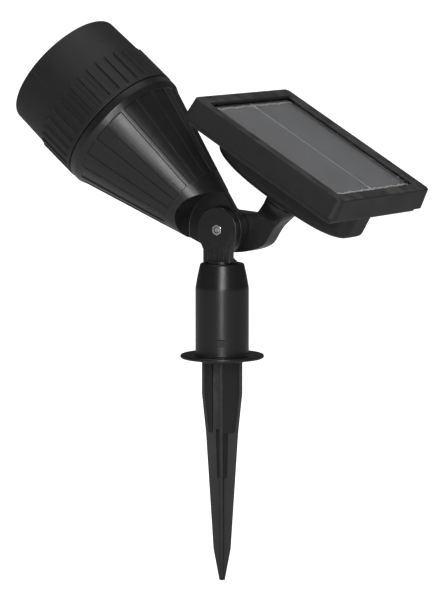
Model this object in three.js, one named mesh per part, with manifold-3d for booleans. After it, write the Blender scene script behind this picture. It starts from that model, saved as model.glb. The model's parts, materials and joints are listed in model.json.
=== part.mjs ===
// Solar garden spotlight on a ground spike. Millimetres, +Z up.
// The origin is on the spike's axis at soil level, which is the underside of the flange.
// The lamp head points to -X and up, and the solar panel stands on an arm towards +X.
import * as THREE from 'three';
import { mergeVertices } from 'three/addons/utils/BufferGeometryUtils.js';
import Module from 'manifold-3d';

const wasm = await Module();
wasm.setup();

// ---- Clearances -------------------------------------------------------------
const touchGap = 0.3; // between pieces that touch or turn on each other
const screwGap = 0.3; // round a screw in its hole
const slotGap = 0.5; // round a loose fit, such as a plug in a sleeve

// ---- Stake: spike and sleeve --------------------------------------------------
const stakeTurn = 28; // degrees about Z, so that a vane of the spike faces the front
const spikeLength = 156;
const spikeHalfTop = 14;
const spikeHalfKnee = 11.2;
const spikeShoulder = 25; // depth where the spike starts to narrow
const spikeKneeDepth = 52;
const spikeHalfLow = 6;
const spikeLowDepth = 134;
const spikeTipHalf = 1.9;
const vaneThick = 2.4;
const spikeSlot = 5.4; // recess beside the front vane
const plugHeight = 34;
const plugWall = 2.6;
const collarStep = 0.65; // how far the collar stands out beyond the plug
const collarDepth = 2.6;
const collarSeatDepth = 0.8; // shallow recess over the collar, so the flange lies flat

const flangeRadius = 29;
const flangeThick = 2.6;
const sleeveRadius = 18.5;
const sleeveTopRadius = 15.1;
const sleeveHeight = 66;
const sleeveTaperStart = 49;
const sleeveWall = 3;
const sleeveWebThick = 16;
const snapHeight = 12; // middle of the snap window above the soil line
const snapWide = 5;
const snapTall = 4.5;

// ---- Stem ---------------------------------------------------------------------
const journalRadius = 10.3;
const pivotHeight = 89.3;
const earRadius = 16;
const earThick = 5.8;
const earFront = -7.8; // Y of the ear's outer face
const postHalf = 11;
const postShoulder = 75.5; // height where the post starts to widen into the ear
const flankTop = 81; // height where the flank meets the ear's round
const rearBlockHalf = 8;
const rearBlockTop = 69.3;
const rearBlockBack = 4.5;

// ---- Fasteners ------------------------------------------------------------------
const boltRadius = 2;
const nutAcross = 7;
const nutThick = 3.2;
const washerThick = 1;
const washerRadius = 7.5;
const swivelScrewRadius = 1.9;
const swivelWasherRadius = sleeveRadius - sleeveWall - 1.5; // 1.5 short of the sleeve's bore
const swivelWasherThick = 1.6;
const screwHeadRadius = 3.9;
const screwHeadThick = 2.6;
const panelWasherRadius = 6;
const caseScrewRadius = 1.3;
const caseHeadRadius = 2.8;
const caseHeadThick = 2.2;
const caseScrewLength = 10;

// ---- Lamp head, measured from the pivot along its own axis ---------------------------
const headLift = 39.5; // degrees above the horizon
const tongueThick = 9.5;
const tongueRadius = 16.5;
const coneBaseRadius = 16.8; // at the pivot
const coneSlope = 0.295;
const coneEnd = 99;
const shoulderRadius = 47.2;
const seamPlace = 106.5;
const hingeRelief = 26; // radius cleared round the pivot beside the tongue
const housingWall = 3;
const cavityStart = 45;
const ledgePlace = 96.5;
const ledgeWidth = 2;
const spigotLength = 8;
const spigotWall = 2.4;
const flutes = 20;
const fluteStart = 31;
const fluteEnd = 96;
const fluteDepth = 0.8;
const fluteRib = 3.6;

const bandRadius = 47.6;
const bandLength = 31;
const bandRing = 3;
const fingers = 36;
const fingerWidth = 4.2;
const shroudRadius = 46.4;
const shroudFrontRadius = 45.6;
const headLength = 168;
const shroudEdge = 4;
const bezelBore = 43.9;
const lipPlace = 150;
const lipThick = 3;
const lipRadius = bezelBore - 3.5; // the lip stands 3.5 in from the bore
const mouthRadius = 42.4;
const lensThick = 2.6;
const gasketThick = 0.9;
const carrierThick = 3;
const boardThick = 1.6;
const boardRadius = 17;
const emitterRadius = 5.5;
const emitterThick = 1.8;
const reflectorThroat = 9;
const reflectorWall = 1.2;
const boardScrewPlace = 12.5;

// ---- Panel, in its own frame: x along its length, z up from its top face ----------------
const panelLength = 132;
const panelWidth = 124;
const panelTilt = 30; // degrees
const panelX = 64.8; // world place of the middle of the top face
const panelZ = 150;
const frameDepth = 15;
const frameFlare = 1.5; // frame wider at its lower edge, on every side
const frameBorder = 9.5; // top border round the window
const frameWall = 6;
const lipDepth = 1.8;
const cornerRadius = 4;
const coverInset = 2;
const coverDepth = 3.4;
const coverWall = 2.5;
const coverFloor = 2;
const sealThick = 0.6;
const sealWidth = 1.4;
const glassThick = 2.4;
const cellThick = 0.5;
const cellGap = 1;
const cellMargin = 1;
const backingThick = 1.4;
const keelEndInset = 7; // keel short of the panel's end
const keelHalfLength = panelLength / 2 - keelEndInset;
const keelHalfWidth = 16;
const keelDepth = 28.5; // below the cover
const keelCorner = 11.7; // depth below the cover where the straight ends stop
const keelWall = 2;
const keelRound = 9;
const bossRadius = 12;
const bossReach = 0.8; // below the keel
const batteryRadius = 9.2;
const batteryLength = 65;
const batteryEndGap = 9.5; // from the keel's end to the battery's
const batteryX = batteryEndGap + batteryLength / 2 - keelHalfLength;
const batterySink = 8.5; // axis of the battery below the cover's back
const trayWall = 1.6;
const controlLength = 26;
const controlWidth = 20;
const controlX = panelLength / 2 - 36; // 36 in from the panel's end
const controlY = 25 - panelWidth / 2; // 25 in from its side
const buttonRadius = 4;
const buttonX = 28 - panelLength / 2; // 28 in from the panel's end
const buttonY = panelWidth / 2 - 23; // 23 in from its side
const buttonStand = 3;
const buttonTravel = 1.4;
const switchSize = 12;
const switchHeight = 7;

// ---- Arm ------------------------------------------------------------------------------
const armFront = earFront + earThick + tongueThick + 2 * touchGap; // Y of the face on the tongue
const armThick = 14;
const barrelOffset = 5.3; // swivel axis behind that face
const panelY = armFront + barrelOffset;
const knuckleRadius = 16.5;
const neckAngle = 128; // degrees round the knuckle where its flat top ends
const barrelRadius = 12;
const barrelNeck = 14; // from its top down to where it becomes the arm's plain slab
const neckLeft = 11.4; // slab from the barrel's axis, on the side of the lamp
const neckRight = 5.6;
const crookDrop = 12; // from the barrel's top down to the inner bend
const armBossRadius = 8;
const armBossLength = 4;

const deg = Math.PI / 180;

// ---- Materials --------------------------------------------------------------------------
const finish = (color, roughness, metalness = 0) =>
  new THREE.MeshStandardMaterial({ color, roughness, metalness });
const blackPlastic = () => finish(0x29292b, 0.5);
const spikePlastic = () => finish(0x242425, 0.6);
const zinc = () => finish(0xb9bbbd, 0.35, 1);
const rubber = () => finish(0x151515, 0.85);

// ---- Shape helpers ----------------------------------------------------------------------
// A closed three.js geometry as a manifold solid, turned the right way out.
function solid(geometry) {
  const bare = geometry.index ? geometry.toNonIndexed() : geometry.clone();
  bare.deleteAttribute('normal');
  bare.deleteAttribute('uv');
  const welded = mergeVertices(bare, 1e-4);
  const points = welded.attributes.position.array;
  const index = Array.from(welded.index.array);
  const corner = (k) => new THREE.Vector3().fromArray(points, 3 * k);
  let volume = 0;
  const faces = [];
  for (let i = 0; i < index.length; i += 3) {
    const [a, b, c] = index.slice(i, i + 3);
    if (a === b || b === c || c === a) continue;
    volume += corner(a).dot(corner(b).cross(corner(c)));
    faces.push([a, b, c]);
  }
  const turned = volume < 0 ? faces.map(([a, b, c]) => [a, c, b]) : faces;
  return new wasm.Manifold(new wasm.Mesh({
    numProp: 3,
    vertProperties: new Float32Array(points),
    triVerts: new Uint32Array(turned.flat()),
  }));
}

function meshGeometry(body) {
  const mesh = body.getMesh();
  const geometry = new THREE.BufferGeometry();
  geometry.setAttribute('position', new THREE.BufferAttribute(mesh.vertProperties, 3));
  geometry.setIndex(new THREE.BufferAttribute(mesh.triVerts, 1));
  return geometry;
}

function box(x0, x1, y0, y1, z0, z1) {
  const geometry = new THREE.BoxGeometry(x1 - x0, y1 - y0, z1 - z0);
  return solid(geometry.translate((x0 + x1) / 2, (y0 + y1) / 2, (z0 + z1) / 2));
}

// A round bar or cone along Z.
function rod(radius, z0, z1, sides = 32, topRadius = radius) {
  const geometry = new THREE.CylinderGeometry(topRadius, radius, z1 - z0, sides);
  return solid(geometry.rotateX(90 * deg).translate(0, 0, (z0 + z1) / 2));
}

// A round bar along Y, about the line x, z.
function crossRod(radius, y0, y1, x, z, sides = 32) {
  const geometry = new THREE.CylinderGeometry(radius, radius, y1 - y0, sides);
  return solid(geometry.translate(x, (y0 + y1) / 2, z));
}

// A profile of [radius, z] points turned about Z.
function turned(profile, sides = 72) {
  const points = profile.map(([r, z]) => new THREE.Vector2(r, z));
  points.push(points[0].clone());
  return solid(new THREE.LatheGeometry(points, sides).rotateX(90 * deg));
}

// An outline in X and Z given a thickness in Y.
function slabXZ(shape, y0, y1, segments = 8) {
  const geometry = new THREE.ExtrudeGeometry(shape, {
    depth: y1 - y0, bevelEnabled: false, curveSegments: segments,
  });
  return solid(geometry.rotateX(90 * deg).translate(0, y1, 0));
}

function roundedBlock(length, width, z0, z1, radius, inset = 0) {
  const [a, b, r] = [length / 2 - inset, width / 2 - inset, Math.max(radius - inset, 0.6)];
  const shape = new THREE.Shape();
  shape.absarc(a - r, b - r, r, 0, 90 * deg);
  shape.absarc(r - a, b - r, r, 90 * deg, 180 * deg);
  shape.absarc(r - a, r - b, r, 180 * deg, 270 * deg);
  shape.absarc(a - r, r - b, r, 270 * deg, 360 * deg);
  const settings = { depth: z1 - z0, bevelEnabled: false, curveSegments: 3 };
  return solid(new THREE.ExtrudeGeometry(shape, settings).translate(0, 0, z0));
}

function named(name, body, material) {
  const mesh = new THREE.Mesh(meshGeometry(body), material);
  mesh.name = name;
  return mesh;
}

// A screw along Z, its head below and its shank pointing up.
function panScrew(shank, headRadius, headThick, z0, z1) {
  const head = rod(headRadius * 0.8, z0, z0 + headThick, 12, headRadius);
  const drive = box(-headRadius * 0.6, headRadius * 0.6, -0.4, 0.4, z0 - 1, z0 + headThick * 0.35);
  return head.add(rod(shank, z0 + headThick - 0.1, z1, 10)).subtract(drive);
}

// ---- Stake --------------------------------------------------------------------------------
function spikeHalf(depth) {
  if (depth < spikeShoulder) return spikeHalfTop;
  if (depth < spikeKneeDepth) {
    return THREE.MathUtils.mapLinear(depth, spikeShoulder, spikeKneeDepth, spikeHalfTop, spikeHalfKnee);
  }
  return THREE.MathUtils.mapLinear(depth, spikeKneeDepth, spikeLowDepth, spikeHalfKnee, spikeHalfLow);
}

function vane() {
  const shape = new THREE.Shape();
  const depths = [collarDepth - 1, spikeShoulder, spikeKneeDepth, spikeLowDepth];
  shape.moveTo(-spikeTipHalf, -spikeLength);
  shape.lineTo(spikeTipHalf, -spikeLength);
  [...depths].reverse().forEach((depth) => shape.lineTo(spikeHalf(depth), -depth));
  depths.forEach((depth) => shape.lineTo(-spikeHalf(depth), -depth));
  return slabXZ(shape, -vaneThick / 2, vaneThick / 2);
}

// The upper part of the spike is a tapered diamond between the vanes, with two deep recesses.
function spikeFill() {
  const edge = vaneThick / 2;
  const reach = (depth) => spikeHalf(depth) - 0.8;
  const diamond = turned([
    [0, -spikeKneeDepth], [reach(spikeKneeDepth), -spikeKneeDepth],
    [reach(spikeShoulder), -spikeShoulder], [reach(0), 1 - collarDepth], [0, 1 - collarDepth],
  ], 4);
  const recess = box(-edge - spikeSlot, -edge, -20, -edge, -spikeKneeDepth - 1, -collarDepth);
  const opposite = box(edge, edge + spikeSlot, edge, 20, -spikeKneeDepth - 1, -collarDepth);
  return diamond.subtract(recess).subtract(opposite);
}

const plugRadius = sleeveRadius - sleeveWall - slotGap / 2;
const collarRadius = plugRadius + collarStep;

function groundSpike() {
  const plug = turned([
    [0, -collarDepth], [collarRadius, -collarDepth], [collarRadius, -touchGap],
    [plugRadius, -touchGap], [plugRadius, plugHeight], [plugRadius - plugWall, plugHeight],
    [plugRadius - plugWall, 3], [0, 3],
  ], 48);
  const tongue = box(-snapWide / 2, snapWide / 2, -sleeveRadius + 0.5, -plugRadius + 1,
    snapHeight - snapTall / 2, snapHeight + snapTall / 2);
  const across = vane();
  const along = across.rotate([0, 0, 90]);
  return across.add(along).add(spikeFill()).add(plug).add(tongue);
}

function groundSleeve() {
  const bore = sleeveRadius - sleeveWall;
  const web = sleeveHeight - sleeveWebThick;
  const seat = collarRadius + slotGap;
  const body = turned([
    [bore, collarSeatDepth], [seat, collarSeatDepth], [seat, 0], [flangeRadius - 1.3, 0],
    [flangeRadius, 0.8], [flangeRadius, flangeThick - 0.8],
    [flangeRadius - 1.3, flangeThick], [sleeveRadius + 1, flangeThick],
    [sleeveRadius, flangeThick + 1], [sleeveRadius, sleeveTaperStart],
    [sleeveRadius - 0.7, sleeveTaperStart + 5], [sleeveTopRadius, sleeveHeight - 2],
    [sleeveTopRadius - 1.6, sleeveHeight], [journalRadius + touchGap, sleeveHeight],
    [journalRadius + touchGap, web], [bore - 0.01, web],
  ], 40);
  const margin = touchGap;
  const window = box(-snapWide / 2 - margin, snapWide / 2 + margin, -flangeRadius, -bore + 1,
    snapHeight - snapTall / 2 - margin, snapHeight + snapTall / 2 + margin);
  return body.subtract(window);
}

// ---- Stem -----------------------------------------------------------------------------------
function tiltStem() {
  const base = sleeveHeight + touchGap;
  const earBack = earFront + earThick;
  const shape = new THREE.Shape();
  const flank = Math.asin((pivotHeight - flankTop) / earRadius);
  shape.moveTo(-postHalf, base);
  shape.lineTo(postHalf, base);
  shape.lineTo(postHalf, postShoulder);
  shape.absarc(0, pivotHeight, earRadius, -flank, Math.PI + flank);
  shape.lineTo(-postHalf, postShoulder);
  const ear = slabXZ(shape, earFront, earBack, 16);
  const block = box(-rearBlockHalf, rearBlockHalf, earBack - 1, rearBlockBack, base, rearBlockTop);
  const journal = rod(journalRadius, sleeveHeight - sleeveWebThick - touchGap, base + 1, 32);
  const grooves = [-6.5, 0, 6.5].map((x) => box(x - 1.4, x + 1.4, earFront - 1, earFront + 0.8,
    base + 1.2, base + 7));
  const nutSeat = nutBlank(nutAcross / 2 + touchGap / 2, earFront - 1, earFront + nutThick + 0.5);
  const boltHole = crossRod(boltRadius + screwGap, -20, 20, 0, pivotHeight, 20);
  const screwHole = rod(swivelScrewRadius + screwGap, 40, sleeveHeight - 2, 16);
  const body = ear.add(block).add(journal).subtract(nutSeat).subtract(boltHole).subtract(screwHole);
  return grooves.reduce((rest, groove) => rest.subtract(groove), body);
}

// A hexagon bar along Y on the pivot line, with a corner on top.
function nutBlank(flatHalf, y0, y1) {
  const geometry = new THREE.CylinderGeometry(flatHalf / Math.cos(30 * deg),
    flatHalf / Math.cos(30 * deg), y1 - y0, 6);
  return solid(geometry.translate(0, (y0 + y1) / 2, pivotHeight));
}

function pivotNut() {
  const front = earFront + 0.1;
  const blank = nutBlank(nutAcross / 2, front, front + nutThick);
  return blank.subtract(crossRod(boltRadius + screwGap, -20, 20, 0, pivotHeight, 20));
}

function pivotBolt() {
  const headStart = armFront + armThick + armBossLength - screwHeadThick - 0.4;
  const shank = crossRod(boltRadius, earFront, headStart + 0.5, 0, pivotHeight, 20);
  const head = crossRod(screwHeadRadius, headStart, headStart + screwHeadThick, 0, pivotHeight, 20);
  const drive = box(-0.45, 0.45, headStart + screwHeadThick - 1, headStart + 6,
    pivotHeight - 2.4, pivotHeight + 2.4);
  return shank.add(head).subtract(drive);
}

function frictionWasher(front) {
  const disc = crossRod(washerRadius, front, front + washerThick, 0, pivotHeight, 28);
  return disc.subtract(crossRod(boltRadius + screwGap, -40, 40, 0, pivotHeight, 20));
}

function washerSeat(front) {
  return crossRod(washerRadius + screwGap, front - 2, front + washerThick + touchGap, 0, pivotHeight, 28);
}

function swivelWasher() {
  const top = sleeveHeight - sleeveWebThick - 2 * touchGap;
  return rod(swivelWasherRadius, top - swivelWasherThick, top, 32)
    .subtract(rod(swivelScrewRadius + screwGap, 0, 90, 16));
}

function swivelScrew() {
  const seat = sleeveHeight - sleeveWebThick - 3 * touchGap - swivelWasherThick;
  return panScrew(swivelScrewRadius, screwHeadRadius, screwHeadThick, seat - screwHeadThick, seat + 13);
}

// ---- Lamp head --------------------------------------------------------------------------------
const coneRadius = (place) => coneBaseRadius + coneSlope * place;
const tongueFront = earFront + earThick + touchGap;
const spigotOuter = bezelBore - touchGap;
const spigotInner = spigotOuter - spigotWall;
const ledgeRadius = spigotInner - ledgeWidth;

function fluteCut(turn) {
  const middle = (fluteStart + fluteEnd) / 2;
  const lean = Math.atan(coneSlope);
  const half = (fluteEnd - fluteStart) / 2 / Math.cos(lean);
  const width = (place) => (2 * Math.PI * coneRadius(place)) / flutes - fluteRib;
  const [low, high] = [width(fluteStart) / 2, width(fluteEnd) / 2];
  const shape = new THREE.Shape();
  shape.moveTo(-low, -half);
  shape.lineTo(low, -half);
  shape.lineTo(high, half);
  shape.lineTo(-high, half);
  const geometry = new THREE.ExtrudeGeometry(shape, { depth: 6, bevelEnabled: false });
  const place = new THREE.Matrix4().makeBasis(
    new THREE.Vector3(0, 1, 0),
    new THREE.Vector3(Math.sin(lean), 0, Math.cos(lean)),
    new THREE.Vector3(Math.cos(lean), 0, -Math.sin(lean)),
  );
  place.setPosition(coneRadius(middle) - fluteDepth / Math.cos(lean), 0, middle);
  return solid(geometry.applyMatrix4(place).rotateZ(turn));
}

function lampHousing() {
  const inner = (place) => coneRadius(place) - housingWall;
  const ledgeStart = (ledgeRadius + housingWall - coneBaseRadius) / coneSlope;
  const outside = turned([
    [0, 0], [coneRadius(0), 0], [coneRadius(coneEnd), coneEnd], [shoulderRadius, coneEnd + 2],
    [shoulderRadius, seamPlace], [spigotOuter, seamPlace], [spigotOuter, seamPlace + spigotLength],
    [0, seamPlace + spigotLength],
  ], 60);
  const cavity = turned([
    [0, cavityStart], [inner(cavityStart), cavityStart], [ledgeRadius, ledgeStart],
    [ledgeRadius, ledgePlace], [spigotInner, ledgePlace], [spigotInner, headLength],
    [0, headLength],
  ], 40);
  const relief = solid(new THREE.CylinderGeometry(hingeRelief, hingeRelief, 80, 40));
  const tongueBack = tongueFront + tongueThick;
  const nearRelief = relief.intersect(box(-60, 60, -60, tongueFront, -60, 60));
  const farRelief = relief.intersect(box(-60, 60, tongueBack, 60, -60, 60));
  const tongueEnd = solid(new THREE.CylinderGeometry(tongueRadius, tongueRadius, tongueThick, 40)
    .translate(0, tongueFront + tongueThick / 2, 0));
  const seat = washerSeat(tongueFront).translate([0, 0, -pivotHeight]);
  const boltHole = crossRod(boltRadius + screwGap, -30, 30, 0, 0, 20);
  let body = outside.subtract(cavity).subtract(nearRelief).subtract(farRelief).add(tongueEnd);
  body = body.subtract(seat).subtract(boltHole);
  for (let i = 0; i < flutes; i += 1) {
    body = body.subtract(fluteCut((i + 0.5) * (360 / flutes) * deg));
  }
  return body;
}

function bezelRing() {
  const start = seamPlace + slotGap;
  const bandEnd = start + bandLength;
  const sideAt = (place) => THREE.MathUtils.mapLinear(place, bandEnd, headLength,
    shroudRadius, shroudFrontRadius);
  const arc = [0, 30, 60, 90].map((a) => [
    sideAt(headLength) - shroudEdge * (1 - Math.cos(a * deg)) * 0.8,
    headLength - shroudEdge * (1 - Math.sin(a * deg)),
  ]);
  let ring = turned([
    [bezelBore, start], [bandRadius, start], [bandRadius, start + bandRing],
    [shroudRadius, start + bandRing], [shroudRadius, bandEnd], ...arc,
    [mouthRadius, headLength - 0.6], [lipRadius, lipPlace + lipThick], [lipRadius, lipPlace],
    [bezelBore, lipPlace],
  ], 72);
  for (let i = 0; i < fingers; i += 1) {
    const finger = box(bezelBore + 1, bandRadius, -fingerWidth / 2, fingerWidth / 2,
      start + bandRing - 0.5, bandEnd - 1);
    ring = ring.add(finger.rotate([0, 0, (i * 360) / fingers]));
  }
  return ring;
}

function lensGasket() {
  const top = lipPlace - touchGap;
  return turned([
    [lipRadius + 0.4, top - gasketThick], [bezelBore - slotGap, top - gasketThick],
    [bezelBore - slotGap, top], [lipRadius + 0.4, top],
  ], 36);
}

const lensTop = lipPlace - 2 * touchGap - gasketThick;

function frontLens() {
  return rod(bezelBore - slotGap, lensTop - lensThick, lensTop, 40);
}

const carrierBase = ledgePlace + touchGap;
const boardBase = carrierBase + carrierThick + touchGap;

function ledCarrier() {
  const plate = rod(spigotInner - slotGap, carrierBase, carrierBase + carrierThick, 36);
  const wireHole = rod(4, 0, headLength, 16).translate([0, 24, 0]);
  const screwHoles = screwPair(caseScrewRadius + screwGap, 0, headLength);
  return plate.subtract(wireHole).subtract(screwHoles);
}

function screwPair(radius, z0, z1) {
  const one = rod(radius, z0, z1, 16);
  return one.translate([0, boardScrewPlace, 0]).add(one.translate([0, -boardScrewPlace, 0]));
}

function ledBoard() {
  const disc = rod(boardRadius, boardBase, boardBase + boardThick, 28);
  return disc.subtract(screwPair(caseScrewRadius + screwGap, 0, headLength));
}

function ledEmitter() {
  const base = boardBase + boardThick + touchGap;
  return rod(emitterRadius, base, base + emitterThick, 28, emitterRadius - 0.8);
}

// A screw that holds the board down, its head towards the front of the lamp.
function boardScrew(side) {
  const top = boardBase + boardThick + touchGap;
  const screw = panScrew(caseScrewRadius, caseHeadRadius, caseHeadThick, -caseHeadThick, 7);
  return screw.rotate([180, 0, 0]).translate([0, side * boardScrewPlace, top]);
}

// A parabolic cup from the emitter to the lens.
function reflector() {
  const base = boardBase + boardThick + 2 * touchGap + caseHeadThick + 1;
  const top = lensTop - lensThick - touchGap;
  const rim = spigotInner - slotGap;
  const steps = 5;
  const inside = [];
  for (let i = 0; i <= steps; i += 1) {
    const share = i / steps;
    inside.push([reflectorThroat + (rim - 1.8 - reflectorThroat) * Math.sqrt(share),
      base + (top - base) * share]);
  }
  const outside = inside.map(([r, z]) => [r + reflectorWall, z]).reverse();
  return turned([...inside, [rim, top], [rim, top - 1.5], ...outside.slice(1)], 32);
}

// ---- Arm -----------------------------------------------------------------------------------------
const panelAxis = new THREE.Vector3(Math.sin(panelTilt * deg), 0, Math.cos(panelTilt * deg));
const panelAlong = new THREE.Vector3(Math.cos(panelTilt * deg), 0, -Math.sin(panelTilt * deg));
const coverBase = frameDepth + sealThick + 2 * touchGap;
const keelTop = coverBase + coverDepth;
const bossEnd = keelTop + keelDepth + bossReach;
const barrelTop = bossEnd + touchGap;

// A point of the world's X and Z, given along the panel and down from its top face.
function underPanel(along, down) {
  return [
    panelX + along * panelAlong.x - down * panelAxis.x,
    panelZ + along * panelAlong.z - down * panelAxis.z,
  ];
}

function onPanelAxis(body) {
  return body.rotate([0, panelTilt, 0]).translate([panelX, panelY, panelZ]);
}

// The round top under the panel, drawn in to the slab's thickness.
function armBarrel() {
  const near = armFront - panelY;
  const top = rod(barrelRadius, -barrelTop - 2, -barrelTop, 40);
  const neck = box(-neckLeft, neckRight, near, near + armThick,
    -barrelTop - barrelNeck, -barrelTop - barrelNeck + 1);
  return onPanelAxis(wasm.Manifold.hull([top, neck]));
}

function panelArm() {
  const shape = new THREE.Shape();
  const topHalf = barrelRadius - 1.6;
  const [neckX, neckZ] = underPanel(neckRight, barrelTop + barrelNeck);
  const [rightX, rightZ] = underPanel(topHalf, barrelTop + 1);
  const [leftX, leftZ] = underPanel(-topHalf, barrelTop + 1);
  const [crookX, crookZ] = underPanel(-neckLeft, barrelTop + crookDrop);
  shape.moveTo(0, pivotHeight - knuckleRadius);
  shape.bezierCurveTo(10, pivotHeight - knuckleRadius - 0.6, 22, pivotHeight - knuckleRadius + 2,
    28, pivotHeight - 10.5);
  shape.bezierCurveTo(32, pivotHeight - 7, 33, pivotHeight - 2, neckX, neckZ);
  shape.lineTo(rightX, rightZ);
  shape.lineTo(leftX, leftZ);
  shape.lineTo(crookX, crookZ);
  shape.quadraticCurveTo(crookX - 2.5, crookZ - 3, crookX - 7, crookZ - 2.4);
  shape.absarc(0, pivotHeight, knuckleRadius, neckAngle * deg, 270 * deg);
  const plate = slabXZ(shape, armFront, armFront + armThick, 10);
  const boss = crossRod(armBossRadius, armFront + armThick - 1, armFront + armThick + armBossLength,
    0, pivotHeight, 32);
  const headSeat = crossRod(screwHeadRadius + screwGap,
    armFront + armThick + armBossLength - screwHeadThick - 0.4 - touchGap, 60, 0, pivotHeight, 24);
  const boltHole = crossRod(boltRadius + screwGap, -20, 60, 0, pivotHeight, 20);
  const screwHole = onPanelAxis(
    rod(swivelScrewRadius + screwGap, -barrelTop - barrelNeck, -barrelTop + 5, 16));
  return plate.add(boss).add(armBarrel()).subtract(headSeat).subtract(boltHole)
    .subtract(washerSeat(armFront)).subtract(screwHole);
}

// ---- Panel ------------------------------------------------------------------------------------------
const caseScrewPlaces = [[1, 1], [1, -1], [-1, 1], [-1, -1]].map(([a, b]) => [
  a * (panelLength / 2 - frameWall - 7), b * (panelWidth / 2 - frameWall - 7),
]);

function atCorners(body) {
  return caseScrewPlaces.map(([x, y]) => body.translate([x, y, 0]));
}

const addAll = (body, others) => others.reduce((sum, other) => sum.add(other), body);
const cutAll = (body, others) => others.reduce((rest, other) => rest.subtract(other), body);

function panelFrame() {
  const top = roundedBlock(panelLength, panelWidth, -1, 0, cornerRadius);
  const foot = roundedBlock(panelLength + 2 * frameFlare, panelWidth + 2 * frameFlare,
    -frameDepth, 0.5 - frameDepth, cornerRadius + frameFlare);
  const block = wasm.Manifold.hull([top, foot]);
  const window = roundedBlock(panelLength, panelWidth, -lipDepth - 1, 1, cornerRadius, frameBorder);
  const cavity = roundedBlock(panelLength, panelWidth, -frameDepth - 1, -lipDepth, cornerRadius, frameWall);
  const belowCells = lipDepth + glassThick + cellThick + backingThick + 4 * touchGap;
  const post = rod(4, -frameDepth, -belowCells, 20);
  const tie = box(-2, 12, -2, 2, -frameDepth, -belowCells);
  const braces = caseScrewPlaces.map(([x, y]) => tie.rotate([0, 0, x > 0 ? 0 : 180]).translate([x, y, 0]));
  const pilot = rod(caseScrewRadius + screwGap, -frameDepth - 1, -belowCells - 1, 16);
  const trim = roundedBlock(panelLength, panelWidth, -frameDepth, 0, cornerRadius);
  const body = addAll(addAll(block.subtract(window).subtract(cavity), atCorners(post)), braces);
  return cutAll(body.intersect(trim), atCorners(pilot));
}

function flatSheet(inset, top, thick) {
  return roundedBlock(panelLength, panelWidth, -top - thick, -top, cornerRadius, inset);
}

const glassTop = lipDepth + touchGap;
const cellTop = glassTop + glassThick + touchGap;
const backingTop = cellTop + cellThick + touchGap;

function solarCell(side) {
  const length = panelLength / 2 - frameBorder - cellMargin;
  const width = panelWidth / 2 - frameBorder - cellMargin;
  const sheet = box(-length, length, cellGap / 2, width, -cellTop - cellThick, -cellTop);
  return side > 0 ? sheet : sheet.rotate([0, 0, 180]);
}

function coverSeal() {
  const outer = coverInset + 0.5;
  const top = frameDepth + touchGap;
  return flatSheet(outer, top, sealThick).subtract(flatSheet(outer + sealWidth, top - 1, sealThick + 2));
}

// The battery bulge: a side profile with a curved belly, rounded across its width.
function keel(shrink, top) {
  const half = keelHalfLength - keelRound - shrink;
  const depth = keelTop + keelDepth - keelRound - shrink;
  const shape = new THREE.Shape();
  const corner = keelTop + keelCorner - shrink;
  const bend = corner + (depth - corner) * 0.36;
  shape.moveTo(-half, -top);
  shape.lineTo(-half, -corner);
  shape.bezierCurveTo(-half * 0.88, -bend, -half * 0.5, -depth, 0, -depth);
  shape.bezierCurveTo(half * 0.5, -depth, half * 0.88, -bend, half, -corner);
  shape.lineTo(half, -top);
  const flat = keelHalfWidth - keelRound - shrink;
  const geometry = new THREE.ExtrudeGeometry(shape, {
    depth: 2 * flat, bevelEnabled: true, bevelSize: keelRound, bevelThickness: keelRound,
    bevelSegments: 3, curveSegments: 6,
  });
  return solid(geometry.rotateX(90 * deg).translate(0, flat, 0));
}

function backCover() {
  const rim = coverBase;
  const outside = flatSheet(coverInset, rim, coverDepth);
  const inside = flatSheet(coverInset + coverWall, rim - 1, coverDepth - coverFloor + 1);
  const below = box(-200, 200, -200, 200, -200, -keelTop + 0.5);
  const belly = keel(0, 0).intersect(below);
  const hollow = keel(keelWall, 0).intersect(box(-200, 200, -200, 200, -200, -rim + 1));
  const boss = rod(bossRadius, -bossEnd, -keelTop - keelDepth + 3, 40);
  const corner = rod(5.4, -rim - coverDepth, -rim, 20);
  const seatDepth = caseHeadThick + 0.4;
  const headSeat = rod(caseHeadRadius + screwGap, -keelTop - 1, -keelTop + seatDepth, 20);
  const shank = rod(caseScrewRadius + screwGap, -60, 0, 16);
  const shell = outside.subtract(inside).add(belly).add(boss).subtract(hollow);
  const drilled = cutAll(cutAll(addAll(shell, atCorners(corner)), atCorners(headSeat)), atCorners(shank));
  const swivelHole = rod(swivelScrewRadius + screwGap, -bossEnd - 1, -20, 16);
  const buttonHole = rod(buttonRadius + touchGap, -40, -rim, 24).translate([buttonX, buttonY, 0]);
  const washerRoom = rod(panelWasherRadius + touchGap, -keelFloor, 3 - keelFloor, 24);
  return drilled.subtract(swivelHole).subtract(buttonHole).subtract(washerRoom);
}

function caseScrew([x, y]) {
  const head = -coverBase - coverDepth + 0.2;
  return panScrew(caseScrewRadius, caseHeadRadius, caseHeadThick, head, head + caseScrewLength)
    .translate([x, y, 0]);
}

function panelSwivelScrew() {
  const seat = -keelFloor + touchGap + washerThick + touchGap;
  const screw = panScrew(swivelScrewRadius, screwHeadRadius, screwHeadThick, 0, screwHeadThick + 15);
  return screw.rotate([180, 0, 0]).translate([0, 0, seat + screwHeadThick]);
}

function panelSwivelWasher() {
  const base = -keelFloor + touchGap;
  return rod(panelWasherRadius, base, base + washerThick, 24)
    .subtract(rod(swivelScrewRadius + screwGap, -90, 0, 16));
}

const keelFloor = keelTop + keelDepth - keelWall;
const screwStack = 3 * touchGap + washerThick + screwHeadThick; // swivel screw on the keel's floor
const batteryDrop = Math.min(keelTop + batterySink, keelFloor - screwStack - batteryRadius);

function lengthwise(radius, x0, x1, sides = 28) {
  const geometry = new THREE.CylinderGeometry(radius, radius, x1 - x0, sides).rotateZ(90 * deg);
  return solid(geometry.translate((x0 + x1) / 2, 0, -batteryDrop));
}

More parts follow.
